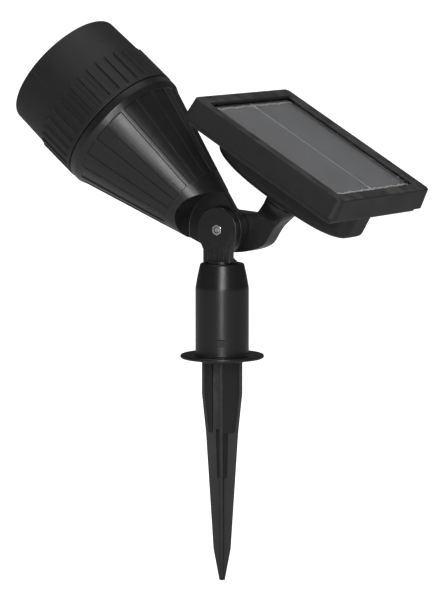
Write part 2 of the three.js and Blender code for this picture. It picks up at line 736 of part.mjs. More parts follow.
const batteryStart = batteryX - batteryLength / 2;
const batteryEnd = batteryX + batteryLength / 2;

function battery() {
  return lengthwise(batteryRadius, batteryStart, batteryEnd - 1.5)
    .add(lengthwise(3, batteryEnd - 1.6, batteryEnd, 20));
}

// A trough over the battery's upper half, closed at both ends.
function batteryTray() {
  const reach = batteryRadius + touchGap;
  const end = 4;
  const block = box(batteryStart - end, batteryEnd + end, -reach - trayWall, reach + trayWall,
    -batteryDrop + 1, -batteryDrop + reach + trayWall);
  const room = lengthwise(reach, batteryStart - end + trayWall, batteryEnd + end - trayWall);
  return block.subtract(room);
}

function contactPlate() {
  const start = batteryEnd + touchGap;
  return box(start, start + 0.6, -5, 5, -batteryDrop - 5, -batteryDrop + 5);
}

class Helix extends THREE.Curve {
  constructor(radius, length, turns) {
    super();
    Object.assign(this, { radius, length, turns });
  }

  getPoint(t, target = new THREE.Vector3()) {
    const angle = t * this.turns * 2 * Math.PI;
    return target.set(t * this.length, this.radius * Math.cos(angle), this.radius * Math.sin(angle));
  }
}

function contactSpring() {
  const wire = 0.35;
  const length = 1.7;
  const section = new THREE.Shape();
  section.absarc(0, 0, wire, 0, 2 * Math.PI);
  const geometry = new THREE.ExtrudeGeometry(section, {
    steps: 24, curveSegments: 2, bevelEnabled: false, extrudePath: new Helix(4, length - 2 * wire, 1.5),
  });
  const start = batteryStart - touchGap - length + wire;
  return solid(geometry.translate(start, 0, -batteryDrop));
}

const coverInside = coverBase + coverDepth - coverFloor;

// Lies on the inside of the cover, beside the keel.
function controlBoard() {
  const base = touchGap - coverInside;
  const sheet = box(-controlLength / 2, controlLength / 2, -controlWidth / 2, controlWidth / 2,
    base, base + 1.5);
  const chip = box(-5, 2, -4, 3, base + 1, base + 3);
  const coil = rod(3.5, base + 1, base + 6, 20).translate([7, 4, 0]);
  return sheet.add(chip).add(coil).translate([controlX, controlY, 0]);
}


function switchButton() {
  const cap = rod(buttonRadius, -keelTop - buttonStand, -coverInside + 1, 28);
  const collar = rod(buttonRadius + 1.4, -coverInside + touchGap, -coverInside + touchGap + 1, 28);
  return cap.add(collar).translate([buttonX, buttonY, 0]);
}

function switchBody() {
  const base = -coverInside + touchGap + 1 + buttonTravel + touchGap;
  const half = switchSize / 2;
  return box(buttonX - half, buttonX + half, buttonY - half, buttonY + half, base, base + switchHeight);
}

// ---- Assembly ---------------------------------------------------------------------------------------
const light = new THREE.Group();

const stake = new THREE.Group();
stake.rotation.z = stakeTurn * deg;
stake.add(named('ground_spike', groundSpike(), spikePlastic()));
stake.add(named('ground_sleeve', groundSleeve(), blackPlastic()));
light.add(stake);

light.add(named('tilt_stem', tiltStem(), blackPlastic()));
light.add(named('swivel_washer', swivelWasher(), zinc()));
light.add(named('swivel_screw', swivelScrew(), zinc()));
light.add(named('pivot_bolt', pivotBolt(), zinc()));
light.add(named('pivot_nut', pivotNut(), zinc()));
light.add(named('panel_arm', panelArm(), blackPlastic()));
light.add(named('arm_friction_washer', frictionWasher(armFront + 0.15), rubber()));

const head = new THREE.Group();
head.position.z = pivotHeight;
head.rotation.y = -(90 - headLift) * deg;
head.add(named('lamp_housing', lampHousing(), blackPlastic()));
head.add(named('head_friction_washer',
  frictionWasher(tongueFront + 0.15).translate([0, 0, -pivotHeight]), rubber()));
head.add(named('bezel_ring', bezelRing(), blackPlastic()));
head.add(named('lens_gasket', lensGasket(), rubber()));
head.add(named('front_lens', frontLens(), finish(0xdfe6ea, 0.1)));
head.add(named('reflector', reflector(), finish(0xd8dadc, 0.12, 1)));
head.add(named('led_carrier', ledCarrier(), finish(0xa8aaac, 0.4, 1)));
head.add(named('led_board', ledBoard(), finish(0xe8e8e4, 0.5)));
head.add(named('led_emitter', ledEmitter(), finish(0xe6c84a, 0.4)));
head.add(named('board_screw_1', boardScrew(1), zinc()));
head.add(named('board_screw_2', boardScrew(-1), zinc()));
light.add(head);

const panel = new THREE.Group();
panel.position.set(panelX, panelY, panelZ);
panel.rotation.y = panelTilt * deg;
panel.add(named('panel_frame', panelFrame(), blackPlastic()));
const sheetInset = frameWall + touchGap;
panel.add(named('panel_glass', flatSheet(sheetInset, glassTop, glassThick), finish(0x30343a, 0.08)));
panel.add(named('solar_cell_near', solarCell(-1), finish(0x4c4e56, 0.3)));
panel.add(named('solar_cell_far', solarCell(1), finish(0x4c4e56, 0.3)));
panel.add(named('cell_backing', flatSheet(sheetInset, backingTop, backingThick), finish(0x3a3b3d, 0.7)));
panel.add(named('back_cover', backCover(), blackPlastic()));
panel.add(named('cover_seal', coverSeal(), rubber()));
panel.add(named('battery', battery(), finish(0x3f7f5c, 0.4)));
panel.add(named('battery_tray', batteryTray(), blackPlastic()));
panel.add(named('contact_spring', contactSpring(), zinc()));
panel.add(named('contact_plate', contactPlate(), zinc()));
panel.add(named('control_board', controlBoard(), finish(0x2c6a3c, 0.6)));
panel.add(named('switch_body', switchBody(), finish(0x222222, 0.5)));
panel.add(named('switch_button', switchButton(), rubber()));
panel.add(named('panel_swivel_washer', panelSwivelWasher(), zinc()));
panel.add(named('panel_swivel_screw', panelSwivelScrew(), zinc()));
caseScrewPlaces.forEach((place, i) => {
  panel.add(named(`case_screw_${i + 1}`, caseScrew(place), zinc()));
});
light.add(panel);

export default light;
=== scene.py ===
import json
import math
import bmesh
import bpy
from mathutils import Matrix, Vector


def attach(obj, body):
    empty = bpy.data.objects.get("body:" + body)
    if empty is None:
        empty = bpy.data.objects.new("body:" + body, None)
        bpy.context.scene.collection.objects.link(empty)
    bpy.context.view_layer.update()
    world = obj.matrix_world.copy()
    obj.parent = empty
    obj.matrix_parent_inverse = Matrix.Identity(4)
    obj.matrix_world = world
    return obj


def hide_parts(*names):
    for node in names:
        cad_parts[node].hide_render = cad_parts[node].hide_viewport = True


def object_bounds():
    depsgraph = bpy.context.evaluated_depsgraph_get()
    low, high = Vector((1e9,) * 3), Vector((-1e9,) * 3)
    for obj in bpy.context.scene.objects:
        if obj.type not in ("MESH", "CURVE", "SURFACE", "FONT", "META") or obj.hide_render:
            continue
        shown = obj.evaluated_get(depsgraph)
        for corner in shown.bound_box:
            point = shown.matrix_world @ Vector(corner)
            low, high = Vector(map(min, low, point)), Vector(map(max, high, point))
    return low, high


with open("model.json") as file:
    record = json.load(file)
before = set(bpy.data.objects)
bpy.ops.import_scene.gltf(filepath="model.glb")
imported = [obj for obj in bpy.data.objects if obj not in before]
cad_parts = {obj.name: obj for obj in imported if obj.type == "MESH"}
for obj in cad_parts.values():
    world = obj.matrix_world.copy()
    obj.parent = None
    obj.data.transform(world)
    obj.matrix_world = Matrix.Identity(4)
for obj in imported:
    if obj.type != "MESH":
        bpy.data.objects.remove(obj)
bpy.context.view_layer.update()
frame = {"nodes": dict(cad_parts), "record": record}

mm = 0.001
degree = math.pi / 180
joints = {row["name"]: row for row in frame["record"]["behaviour"]["joints"]}


def axisFrame(origin, axis):  # local z along the axis, local y stays the world's y
    z = axis.normalized()
    x = Vector((0, 1, 0)).cross(z)
    place = Matrix((x, z.cross(x), z)).transposed().to_4x4()
    place.translation = origin
    return place


def jointFrame(name):
    row = joints[name]
    return axisFrame(Vector(row["pos_m"]), Vector(row["axis"]))


worldFrame = Matrix.Identity(4)
headFrame = jointFrame("bezel_twist")  # z runs from the pivot towards the lens
panelFrame = jointFrame("panel_swivel")  # z stands on the middle of the panel's top face
pivot = Vector(joints["head_tilt"]["pos_m"]) / mm
stakeFrame = Matrix.Rotation(28 * degree, 4, "Z")

# camera
view = {
    "azimuth": 31.3, "elevation": 6.4, "distance": 2.42, "lens": 210.3, "sensor": 36, "farEnd": 100,
    "target": (-0.0004, -0.0002, 0.0402),
}


def addCamera():
    azimuth, elevation = view["azimuth"] * degree, view["elevation"] * degree
    back = Vector((math.sin(azimuth) * math.cos(elevation),
                   -math.cos(azimuth) * math.cos(elevation), math.sin(elevation)))
    data = bpy.data.cameras.new("camera")
    data.lens = view["lens"]
    data.sensor_width = view["sensor"]
    data.clip_end = view["farEnd"]
    camera = bpy.data.objects.new("camera", data)
    camera.location = Vector(view["target"]) + back * view["distance"]
    camera.rotation_euler = back.to_track_quat("Z", "Y").to_euler()
    bpy.context.collection.objects.link(camera)
    bpy.context.scene.camera = camera


addCamera()
print("camera ready")

# shared shader groups


def newGroup(name, inputs, outputs):
    group = bpy.data.node_groups.new(name, "ShaderNodeTree")
    for label, value in inputs.items():
        socket = group.interface.new_socket(label, in_out="INPUT", socket_type="NodeSocketFloat")
        socket.default_value = value
    for label, kind in outputs.items():
        group.interface.new_socket(label, in_out="OUTPUT", socket_type=kind)
    given, out = group.nodes.new("NodeGroupInput"), group.nodes.new("NodeGroupOutput")
    return group, group.nodes, group.links, given, out


def mathNode(nodes, links, operation, first, second=None, clamp=False):
    node = nodes.new("ShaderNodeMath")
    node.operation = operation
    node.use_clamp = clamp
    for socket, value in zip(node.inputs, (first, second)):
        if value is None:
            continue
        if isinstance(value, (int, float)):
            socket.default_value = value
        else:
            links.new(value, socket)
    return node.outputs[0]


def rangeNode(nodes, links, value, low, high, toLow=0.0, toHigh=1.0):
    node = nodes.new("ShaderNodeMapRange")
    links.new(value, node.inputs["Value"])
    for label, number in (("From Min", low), ("From Max", high), ("To Min", toLow), ("To Max", toHigh)):
        node.inputs[label].default_value = number
    return node.outputs["Result"]


def noiseNode(nodes, links, vector, scale, detail=3.0, roughness=0.55):
    node = nodes.new("ShaderNodeTexNoise")
    links.new(vector, node.inputs["Vector"])
    if isinstance(scale, (int, float)):
        node.inputs["Scale"].default_value = scale
    else:
        links.new(scale, node.inputs["Scale"])
    node.inputs["Detail"].default_value = detail
    node.inputs["Roughness"].default_value = roughness
    return node.outputs["Fac"]


def makeMouldGrain():  # fine spark-eroded texture of a moulded surface, with slow tone changes
    group, nodes, links, given, out = newGroup(
        "mouldGrain", {"Grain Scale": 2600.0, "Patch Scale": 45.0},
        {"Height": "NodeSocketFloat", "Tone": "NodeSocketFloat"})
    where = nodes.new("ShaderNodeTexCoord").outputs["Object"]
    fine = noiseNode(nodes, links, where, given.outputs["Grain Scale"], 2.0, 0.6)
    patch = noiseNode(nodes, links, where, given.outputs["Patch Scale"], 4.0, 0.5)
    links.new(fine, out.inputs["Height"])
    links.new(patch, out.inputs["Tone"])
    return group


def makeEdgeWearAndHighlight():  # lighter edges and corners by pointiness, broken up by noise: rubbed wear plus a painted edge highlight
    group, nodes, links, given, out = newGroup(
        "edgeWearAndHighlight", {"Amount": 0.5, "Break Scale": 220.0}, {"Mask": "NodeSocketFloat"})
    point = nodes.new("ShaderNodeNewGeometry").outputs["Pointiness"]
    edge = rangeNode(nodes, links, point, 0.51, 0.62)
    where = nodes.new("ShaderNodeTexCoord").outputs["Object"]
    patch = rangeNode(nodes, links, noiseNode(nodes, links, where, given.outputs["Break Scale"]), 0.35, 0.7)
    mask = mathNode(nodes, links, "MULTIPLY", edge, patch)
    mask = mathNode(nodes, links, "MULTIPLY", mask, given.outputs["Amount"], clamp=True)
    links.new(mask, out.inputs["Mask"])
    return group


def makeDust():  # thin dust that settles on what faces up
    group, nodes, links, given, out = newGroup(
        "settledDust", {"Amount": 0.3}, {"Mask": "NodeSocketFloat"})
    split = nodes.new("ShaderNodeSeparateXYZ")
    links.new(nodes.new("ShaderNodeNewGeometry").outputs["Normal"], split.inputs[0])
    up = rangeNode(nodes, links, split.outputs["Z"], 0.1, 1.0)
    where = nodes.new("ShaderNodeTexCoord").outputs["Object"]
    patch = rangeNode(nodes, links, noiseNode(nodes, links, where, 90.0, 5.0), 0.3, 0.75)
    mask = mathNode(nodes, links, "MULTIPLY", up, patch)
    mask = mathNode(nodes, links, "MULTIPLY", mask, given.outputs["Amount"], clamp=True)
    links.new(mask, out.inputs["Mask"])
    return group


mouldGrain, edgeWearAndHighlight, settledDust = makeMouldGrain(), makeEdgeWearAndHighlight(), makeDust()


def placeGroup(nodes, group, **values):
    node = nodes.new("ShaderNodeGroup")
    node.node_tree = group
    for label, value in values.items():
        node.inputs[label.replace("_", " ")].default_value = value
    return node


def mixColour(nodes, links, factor, first, second):
    node = nodes.new("ShaderNodeMix")
    node.data_type = "RGBA"
    links.new(factor, node.inputs[0])
    for socket, value in ((node.inputs[6], first), (node.inputs[7], second)):
        if isinstance(value, tuple):
            socket.default_value = (*value[:3], 1)
        else:
            links.new(value, socket)
    return node.outputs[2]


def newMaterial(name):
    material = bpy.data.materials.new(name)
    material.use_nodes = True
    nodes, links = material.node_tree.nodes, material.node_tree.links
    return material, nodes, links, nodes["Principled BSDF"]


def bumpNode(nodes, links, height, strength, distance):
    node = nodes.new("ShaderNodeBump")
    node.inputs["Strength"].default_value = strength
    node.inputs["Distance"].default_value = distance
    links.new(height, node.inputs["Height"])
    return node.outputs["Normal"]


def mouldedPlastic(name, look):  # satin or matte injection-moulded plastic
    material, nodes, links, shader = newMaterial(name)
    grain = placeGroup(nodes, mouldGrain, Grain_Scale=look["grain"], Patch_Scale=look["patch"])
    # edge mask: rubbed wear together with a painted edge highlight on the plastic's edges
    wearAndHighlight = placeGroup(nodes, edgeWearAndHighlight, Amount=look["wearAndHighlight"])
    dust = placeGroup(nodes, settledDust, Amount=look["dust"])
    base = mixColour(nodes, links, grain.outputs["Tone"], look["dark"], look["light"])
    # edges and corners mixed towards the lighter colour: rubbed wear and painted edge highlight
    base = mixColour(nodes, links, wearAndHighlight.outputs["Mask"], base, look["rubbedAndHighlight"])
    base = mixColour(nodes, links, dust.outputs["Mask"], base, look["dustColour"])
    links.new(base, shader.inputs["Base Color"])
    rough = rangeNode(nodes, links, grain.outputs["Tone"], 0.3, 0.7, look["smooth"], look["rough"])
    dull = mathNode(nodes, links, "MULTIPLY", dust.outputs["Mask"], look["dustDull"])
    links.new(mathNode(nodes, links, "ADD", rough, dull), shader.inputs["Roughness"])
    shader.inputs["Specular IOR Level"].default_value = look["sheen"]
    bump = bumpNode(nodes, links, grain.outputs["Height"], look["bump"], look["grainDepth"])
    links.new(bump, shader.inputs["Normal"])
    return material


# the lighter edge colour paints both rubbed wear and a painted edge highlight
satinBlack = {
    "dark": (0.0095, 0.0095, 0.0102), "light": (0.0130, 0.0130, 0.0139), "rubbedAndHighlight": (0.045, 0.045, 0.047),
    "dustColour": (0.10, 0.095, 0.088), "dust": 0.08, "dustDull": 0.4, "wearAndHighlight": 0.5,
    "smooth": 0.27, "rough": 0.35, "sheen": 0.5, "bump": 0.22, "grain": 2600.0, "grainDepth": 0.00006,
    "patch": 38.0,
}
mattBezel = {**satinBlack, "smooth": 0.5, "rough": 0.62, "bump": 0.4, "grain": 2000.0}
mattCase = {**satinBlack, "smooth": 0.48, "rough": 0.6, "bump": 0.35, "dust": 0.7}
mattSpike = {**satinBlack, "smooth": 0.46, "rough": 0.58, "bump": 0.45, "dust": 0.12, "wearAndHighlight": 0.8}
materials = {
    "housing": mouldedPlastic("satinHousing", satinBlack),
    "bezel": mouldedPlastic("mattBezel", mattBezel),
    "panelCase": mouldedPlastic("mattPanelCase", mattCase),
    "spike": mouldedPlastic("mattSpike", mattSpike),
}


zincLook = {
    "dark": (0.58, 0.6, 0.64), "light": (0.82, 0.82, 0.8), "cloud": 700.0, "smooth": 0.18, "rough": 0.36,
    "scratch": 2400.0, "bump": 0.15, "scratchDepth": 0.00004,
}


def platedZinc():
    z = zincLook
    material, nodes, links, shader = newMaterial("brightZinc")
    where = nodes.new("ShaderNodeTexCoord").outputs["Object"]
    cloud = noiseNode(nodes, links, where, z["cloud"], 4.0)
    links.new(mixColour(nodes, links, cloud, z["dark"], z["light"]), shader.inputs["Base Color"])
    links.new(rangeNode(nodes, links, cloud, 0.3, 0.7, z["smooth"], z["rough"]), shader.inputs["Roughness"])
    scratch = noiseNode(nodes, links, where, z["scratch"], 2.0)
    links.new(bumpNode(nodes, links, scratch, z["bump"], z["scratchDepth"]), shader.inputs["Normal"])
    shader.inputs["Metallic"].default_value = 1.0
    return material


rubberLook = {
    "dark": (0.012, 0.012, 0.012), "light": (0.022, 0.022, 0.022), "dustColour": (0.1, 0.1, 0.1),
    "dust": 0.25, "smooth": 0.68, "rough": 0.85, "grain": 3200.0, "bump": 0.3, "grainDepth": 0.00006,
}


def sealRubber():
    r = rubberLook
    material, nodes, links, shader = newMaterial("blackRubber")
    grain = placeGroup(nodes, mouldGrain, Grain_Scale=r["grain"])
    dust = placeGroup(nodes, settledDust, Amount=r["dust"])
    base = mixColour(nodes, links, grain.outputs["Tone"], r["dark"], r["light"])
    base = mixColour(nodes, links, dust.outputs["Mask"], base, r["dustColour"])
    links.new(base, shader.inputs["Base Color"])
    rough = rangeNode(nodes, links, grain.outputs["Tone"], 0.3, 0.7, r["smooth"], r["rough"])
    links.new(rough, shader.inputs["Roughness"])
    bump = bumpNode(nodes, links, grain.outputs["Height"], r["bump"], r["grainDepth"])
    links.new(bump, shader.inputs["Normal"])
    return material


def clearSheet(name, tint, haze):
    material, nodes, links, shader = newMaterial(name)
    where = nodes.new("ShaderNodeTexCoord").outputs["Object"]
    smear = noiseNode(nodes, links, where, 60.0, 5.0)
    smeared = tuple(0.96 * c for c in tint)
    links.new(mixColour(nodes, links, smear, tint, smeared), shader.inputs["Base Color"])
    links.new(rangeNode(nodes, links, smear, 0.3, 0.75, haze * 0.6, haze), shader.inputs["Roughness"])
    shader.inputs["Transmission Weight"].default_value = 1.0
    shader.inputs["IOR"].default_value = 1.46
    return material


cellLook = {
    "dark": (0.022, 0.022, 0.027), "light": (0.036, 0.036, 0.042), "finger": (0.065, 0.065, 0.070),
    "fingerPitch": 0.0021, "fingerWide": 0.07, "fingerStrength": 0.35,
    "roughLow": 0.42, "roughHigh": 0.55, "sheen": 0.12,
}


def siliconCell():  # grey-blue cell with hair-fine print lines across its width
    material, nodes, links, shader = newMaterial("siliconCell")
    where = nodes.new("ShaderNodeTexCoord").outputs["Object"]
    grain = noiseNode(nodes, links, where, 260.0, 4.0)
    tone = rangeNode(nodes, links, grain, 0.3, 0.7)
    base = mixColour(nodes, links, tone, cellLook["dark"], cellLook["light"])
    split = nodes.new("ShaderNodeSeparateXYZ")
    links.new(where, split.inputs[0])
    along = mathNode(nodes, links, "DIVIDE", split.outputs["Y"], cellLook["fingerPitch"])
    line = mathNode(nodes, links, "COMPARE", mathNode(nodes, links, "FRACT", along), 0.5)
    line.node.inputs[2].default_value = cellLook["fingerWide"]
    line = mathNode(nodes, links, "MULTIPLY", line, cellLook["fingerStrength"])
    base = mixColour(nodes, links, line, base, cellLook["finger"])
    links.new(base, shader.inputs["Base Color"])
    links.new(rangeNode(nodes, links, grain, 0.3, 0.7, cellLook["roughLow"], cellLook["roughHigh"]),
              shader.inputs["Roughness"])
    shader.inputs["Specular IOR Level"].default_value = cellLook["sheen"]
    return material


def paintedSurface(name, dark, light, rough, metallic=0.0, scale=300.0, bump=0.1):
    material, nodes, links, shader = newMaterial(name)
    where = nodes.new("ShaderNodeTexCoord").outputs["Object"]
    cloud = noiseNode(nodes, links, where, scale, 4.0)
    links.new(mixColour(nodes, links, cloud, dark, light), shader.inputs["Base Color"])
    spread = rangeNode(nodes, links, cloud, 0.3, 0.7, rough * 0.85, rough * 1.15)
    links.new(spread, shader.inputs["Roughness"])
    links.new(bumpNode(nodes, links, cloud, bump, 0.00005), shader.inputs["Normal"])
    shader.inputs["Metallic"].default_value = metallic
    return material


materials.update({
    "zinc": platedZinc(), "rubber": sealRubber(), "cell": siliconCell(),
    "lens": clearSheet("clearLens", (0.97, 0.985, 1.0), 0.04),
    "cover": clearSheet("panelCover", (0.93, 0.94, 0.96), 0.16),
    "backing": paintedSurface("backingSheet", (0.016, 0.016, 0.018), (0.024, 0.024, 0.027), 0.55),
    "mirror": paintedSurface("platedReflector", (0.8, 0.81, 0.83), (0.93, 0.93, 0.93), 0.1, 1.0, 120.0, 0.03),
    "aluminium": paintedSurface(
        "plainAluminium", (0.6, 0.61, 0.62), (0.76, 0.76, 0.77), 0.34, 1.0, 500.0, 0.2),
    "whiteBoard": paintedSurface("whiteBoard", (0.74, 0.74, 0.72), (0.84, 0.84, 0.82), 0.42),
    "greenBoard": paintedSurface("greenBoard", (0.01, 0.07, 0.022), (0.02, 0.11, 0.035), 0.4),
    "phosphor": paintedSurface("phosphorDome", (0.75, 0.5, 0.04), (0.88, 0.66, 0.1), 0.28),
    "sleeveFilm": paintedSurface("cellSleeve", (0.01, 0.16, 0.07), (0.02, 0.22, 0.1), 0.3),
    "ribbon": paintedSurface("tinnedRibbon", (0.42, 0.42, 0.43), (0.72, 0.72, 0.73), 0.6, 0.0, 900.0, 0.3),
})
slotMaterials = {
    "black_plastic": "housing", "spike_plastic": "spike", "zinc_steel": "zinc", "seal_rubber": "rubber",
    "clear_lens": "lens", "cover_glass": "cover", "solar_cell": "cell", "backing_sheet": "backing",
    "mirror_coat": "mirror", "plain_aluminium": "aluminium", "white_board": "whiteBoard",
    "green_board": "greenBoard", "phosphor": "phosphor", "battery_sleeve": "sleeveFilm",
}
print("materials ready")

# mesh helpers, all in millimetres in a local frame


def makePiece(name, points, faces, place=worldFrame):
    mesh = bpy.data.meshes.new(name)
    mesh.from_pydata([tuple(p) for p in points], [], faces)
    mesh.transform(place @ Matrix.Scale(mm, 4))
    piece = bpy.data.objects.new(name, mesh)
    bpy.context.collection.objects.link(piece)
    work = bmesh.new()
    work.from_mesh(mesh)
    bmesh.ops.remove_doubles(work, verts=work.verts, dist=1e-7)
    bmesh.ops.dissolve_degenerate(work, edges=work.edges, dist=1e-7)
    bmesh.ops.recalc_face_normals(work, faces=work.faces)
    work.to_mesh(mesh)
    work.free()
    return piece


def loopPiece(name, rows, place=worldFrame, ring=True):  # closed rows of points, skinned in order
    count = len(rows[0])
    points = [p for row in rows for p in row]
    faces = []
    for k in range(len(rows) if ring else len(rows) - 1):
        first, second = k * count, (k + 1) % len(rows) * count
        for i in range(count):
            j = (i + 1) % count
            faces.append((first + i, first + j, second + j, second + i))
    if not ring:
        faces.append(tuple(reversed(range(count))))
        faces.append(tuple(range(len(points) - count, len(points))))
    return makePiece(name, points, faces, place)


def rounded(points, radii, steps=5):  # a closed outline with its corners turned into arcs
    result = []
    for k, corner in enumerate(points):
        here, before, after = Vector(corner), Vector(points[k - 1]), Vector(points[(k + 1) % len(points)])
        inward, outward = before - here, after - here
        turn = inward.angle(outward)
        if radii[k] <= 0 or turn > 178 * degree:
            result.append(tuple(here))
            continue
        reach = min(radii[k] / math.tan(turn / 2), inward.length * 0.48, outward.length * 0.48)
        bend = reach * math.tan(turn / 2)
        middle = here + (inward.normalized() + outward.normalized()).normalized() * bend / math.sin(turn / 2)
        start = here + inward.normalized() * reach - middle
        end = here + outward.normalized() * reach - middle
        low = math.atan2(start.y, start.x)
        sweep = (math.atan2(end.y, end.x) - low + math.pi) % (2 * math.pi) - math.pi
        for i in range(steps + 1):
            angle = low + sweep * i / steps
            result.append((middle.x + bend * math.cos(angle), middle.y + bend * math.sin(angle)))
    return result


def turnedPiece(name, profile, place=worldFrame, sides=160):  # closed profile of radius and height
    angles = [2 * math.pi * i / sides for i in range(sides)]
    rows = [[(r * math.cos(a), r * math.sin(a), z) for a in angles] for r, z in profile]
    return loopPiece(name, rows, place)


def slabPiece(name, outline, low, high, place=worldFrame, plane="XZ"):  # an outline given a thickness
    lift = (lambda p, d: (p[0], d, p[1])) if plane == "XZ" else (lambda p, d: (p[0], p[1], d))
    rows = [[lift(p, level) for p in outline] for level in (low, high)]
    return loopPiece(name, rows, place, ring=False)


def rectRing(length, width, corner, z, steps=8):
    outline = []
    for sx, sy, start in ((1, 1, 0), (-1, 1, 90), (-1, -1, 180), (1, -1, 270)):
        for i in range(steps + 1):
            angle = (start + 90 * i / steps) * degree
            outline.append((sx * (length / 2 - corner) + corner * math.cos(angle),
                            sy * (width / 2 - corner) + corner * math.sin(angle), z))
    return outline


def settle(piece):  # turns the modifiers into mesh
    graph = bpy.context.evaluated_depsgraph_get()
    mesh = bpy.data.meshes.new_from_object(piece.evaluated_get(graph))
    piece.modifiers.clear()
    piece.data = mesh
    return piece


def combine(target, tool, operation="UNION"):
    change = target.modifiers.new("combine", "BOOLEAN")
    change.object = tool
    change.operation = operation
    change.solver = "EXACT"
    settle(target)
    bpy.data.objects.remove(tool)
    return target


def cut(target, tool):
    return combine(target, tool, "DIFFERENCE")


def softenEdges(piece, width, segments=3, angle=35):
    change = piece.modifiers.new("soften", "BEVEL")
    change.width = width * mm
    change.segments = segments
    change.limit_method = "ANGLE"
    change.angle_limit = angle * degree
    change.use_clamp_overlap = True
    return settle(piece)


def shade(piece, angle=32):
    work = bmesh.new()
    work.from_mesh(piece.data)
    for face in work.faces:
        face.smooth = True
    for edge in work.edges:
        if len(edge.link_faces) == 2:
            edge.smooth = edge.calc_face_angle(0) < angle * degree
    work.to_mesh(piece.data)
    work.free()
    change = piece.modifiers.new("even", "WEIGHTED_NORMAL")
    change.keep_sharp = True
    settle(piece)


def fit(piece, material, body, slotName, *nodes):
    shade(piece)
    piece.data.materials.clear()
    piece.data.materials.append(materials[material])
    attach(piece, body)
    if nodes:
        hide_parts(*nodes)
    return piece


def boxPiece(name, low, high, place=worldFrame):
    (x0, y0, z0), (x1, y1, z1) = low, high
    return slabPiece(name, [(x0, y0), (x1, y0), (x1, y1), (x0, y1)], z0, z1, place, "XY")


def barPiece(name, radius, low, high, place=worldFrame, sides=64, centre=(0, 0)):  # a bar along local z
    outline = [(centre[0] + radius * math.cos(2 * math.pi * i / sides),
                centre[1] + radius * math.sin(2 * math.pi * i / sides)) for i in range(sides)]
    return slabPiece(name, outline, low, high, place, "XY")


def crossBar(name, radius, low, high, place=worldFrame, z=0.0, sides=96, start=0.0):  # along local y
    outline = [(radius * math.cos(start + 2 * math.pi * i / sides),
                z + radius * math.sin(start + 2 * math.pi * i / sides)) for i in range(sides)]
    return slabPiece(name, outline, low, high, place)


def bezier(a, b, c, d, steps=14):
    curve = []
    for i in range(1, steps + 1):
        t = i / steps
        weights = ((1 - t) ** 3, 3 * t * (1 - t) ** 2, 3 * t * t * (1 - t), t ** 3)
        curve.append(tuple(sum(w * p[k] for w, p in zip(weights, (a, b, c, d))) for k in (0, 1)))
    return curve


def smoothStep(x):
    x = min(max(x, 0.0), 1.0)
    return x * x * (3 - 2 * x)


# spike
spike = {
    "halfTop": 14.0, "halfKnee": 11.2, "halfLow": 6.0, "halfTip": 1.9, "shoulder": 25.0, "knee": 52.0,
    "low": 134.0, "length": 156.0, "vane": 2.4, "tipVane": 1.9, "slot": 5.4, "collar": 15.9,
    "collarDepth": 2.6, "plug": 15.25, "plugWall": 2.6, "plugHeight": 34.0, "plugFloor": 3.0, "web": 4.6,
    "webEnd": 84.0, "fillInset": 0.8, "snap": 12.0, "snapHalf": 2.4, "snapFace": 18.42, "snapBelow": 2.3,
    "snapAbove": 2.1,
}


def crossRow(half, thick, z):
    e = thick / 2
    corners = ((e, e), (half, e), (half, -e), (e, -e), (e, -half), (-e, -half),
               (-e, -e), (-half, -e), (-half, e), (-e, e), (-e, half), (e, half))
    return [(x, y, z) for x, y in corners]


def diamondRow(reach, z):
    return [(reach, 0, z), (0, reach, z), (-reach, 0, z), (0, -reach, z)]


def buildSpike():
    s = spike
    top, fillReach = 1 - s["collarDepth"], s["halfTop"] - s["fillInset"]
    blade = loopPiece("spikeBody", [
        crossRow(s["halfTop"], s["vane"], top), crossRow(s["halfTop"], s["vane"], -s["shoulder"]),
        crossRow(s["halfKnee"], s["vane"], -s["knee"]), crossRow(s["halfLow"], s["vane"], -s["low"]),
        crossRow(s["halfTip"], s["tipVane"], -s["length"])], stakeFrame, ring=False)
    softenEdges(blade, 0.35)
    fill = loopPiece("spikeFill", [
        diamondRow(fillReach, top), diamondRow(fillReach, -s["shoulder"]),
        diamondRow(s["halfKnee"] - s["fillInset"], -s["knee"])], stakeFrame, ring=False)
    edge = s["vane"] / 2
    for name, side in (("slotFront", -1), ("slotBack", 1)):
        near, far = sorted((side * edge, side * (edge + s["slot"])))
        nearY, farY = sorted((side * edge, side * 20))
        cut(fill, boxPiece(name, (near, nearY, -s["knee"] - 1), (far, farY, -s["collarDepth"]), stakeFrame))
    softenEdges(fill, 0.4)
    combine(blade, fill)
    webRows = [diamondRow(s["web"] + 1, -s["knee"] + 2), diamondRow(s["web"], -s["webEnd"])]
    web = loopPiece("spikeWeb", webRows, stakeFrame, ring=False)
    combine(blade, softenEdges(web, 0.4))
    inner = s["plug"] - s["plugWall"]
    plug = turnedPiece("spikePlug", rounded([
        (0, -s["collarDepth"]), (s["collar"], -s["collarDepth"]), (s["collar"], -0.3), (s["plug"], -0.3),
        (s["plug"], s["plugHeight"]), (inner, s["plugHeight"]), (inner, s["plugFloor"]), (0, s["plugFloor"])],
        [0, 0.8, 0.2, 0.2, 0.6, 0.4, 1, 0], 3), stakeFrame, 128)
    combine(blade, plug)
    snap = boxPiece("snapTongue", (-s["snapHalf"], -s["snapFace"], s["snap"] - s["snapBelow"]),
                    (s["snapHalf"], -s["plug"] + 1, s["snap"] + s["snapAbove"]), stakeFrame)
    combine(blade, softenEdges(snap, 0.2))
    fit(blade, "spike", "stake", "spike_plastic", "ground_spike")


# sleeve
sleeve = {
    "flange": 29.0, "flangeThick": 2.6, "radius": 18.5, "top": 15.1, "height": 66.0, "taper": 49.0,
    "shoulderIn": 1.9, "shoulderRise": 8.5, "bore": 15.5, "hole": 10.6, "web": 50.0,
    "window": (2.47, 2.55, 2.36),
}


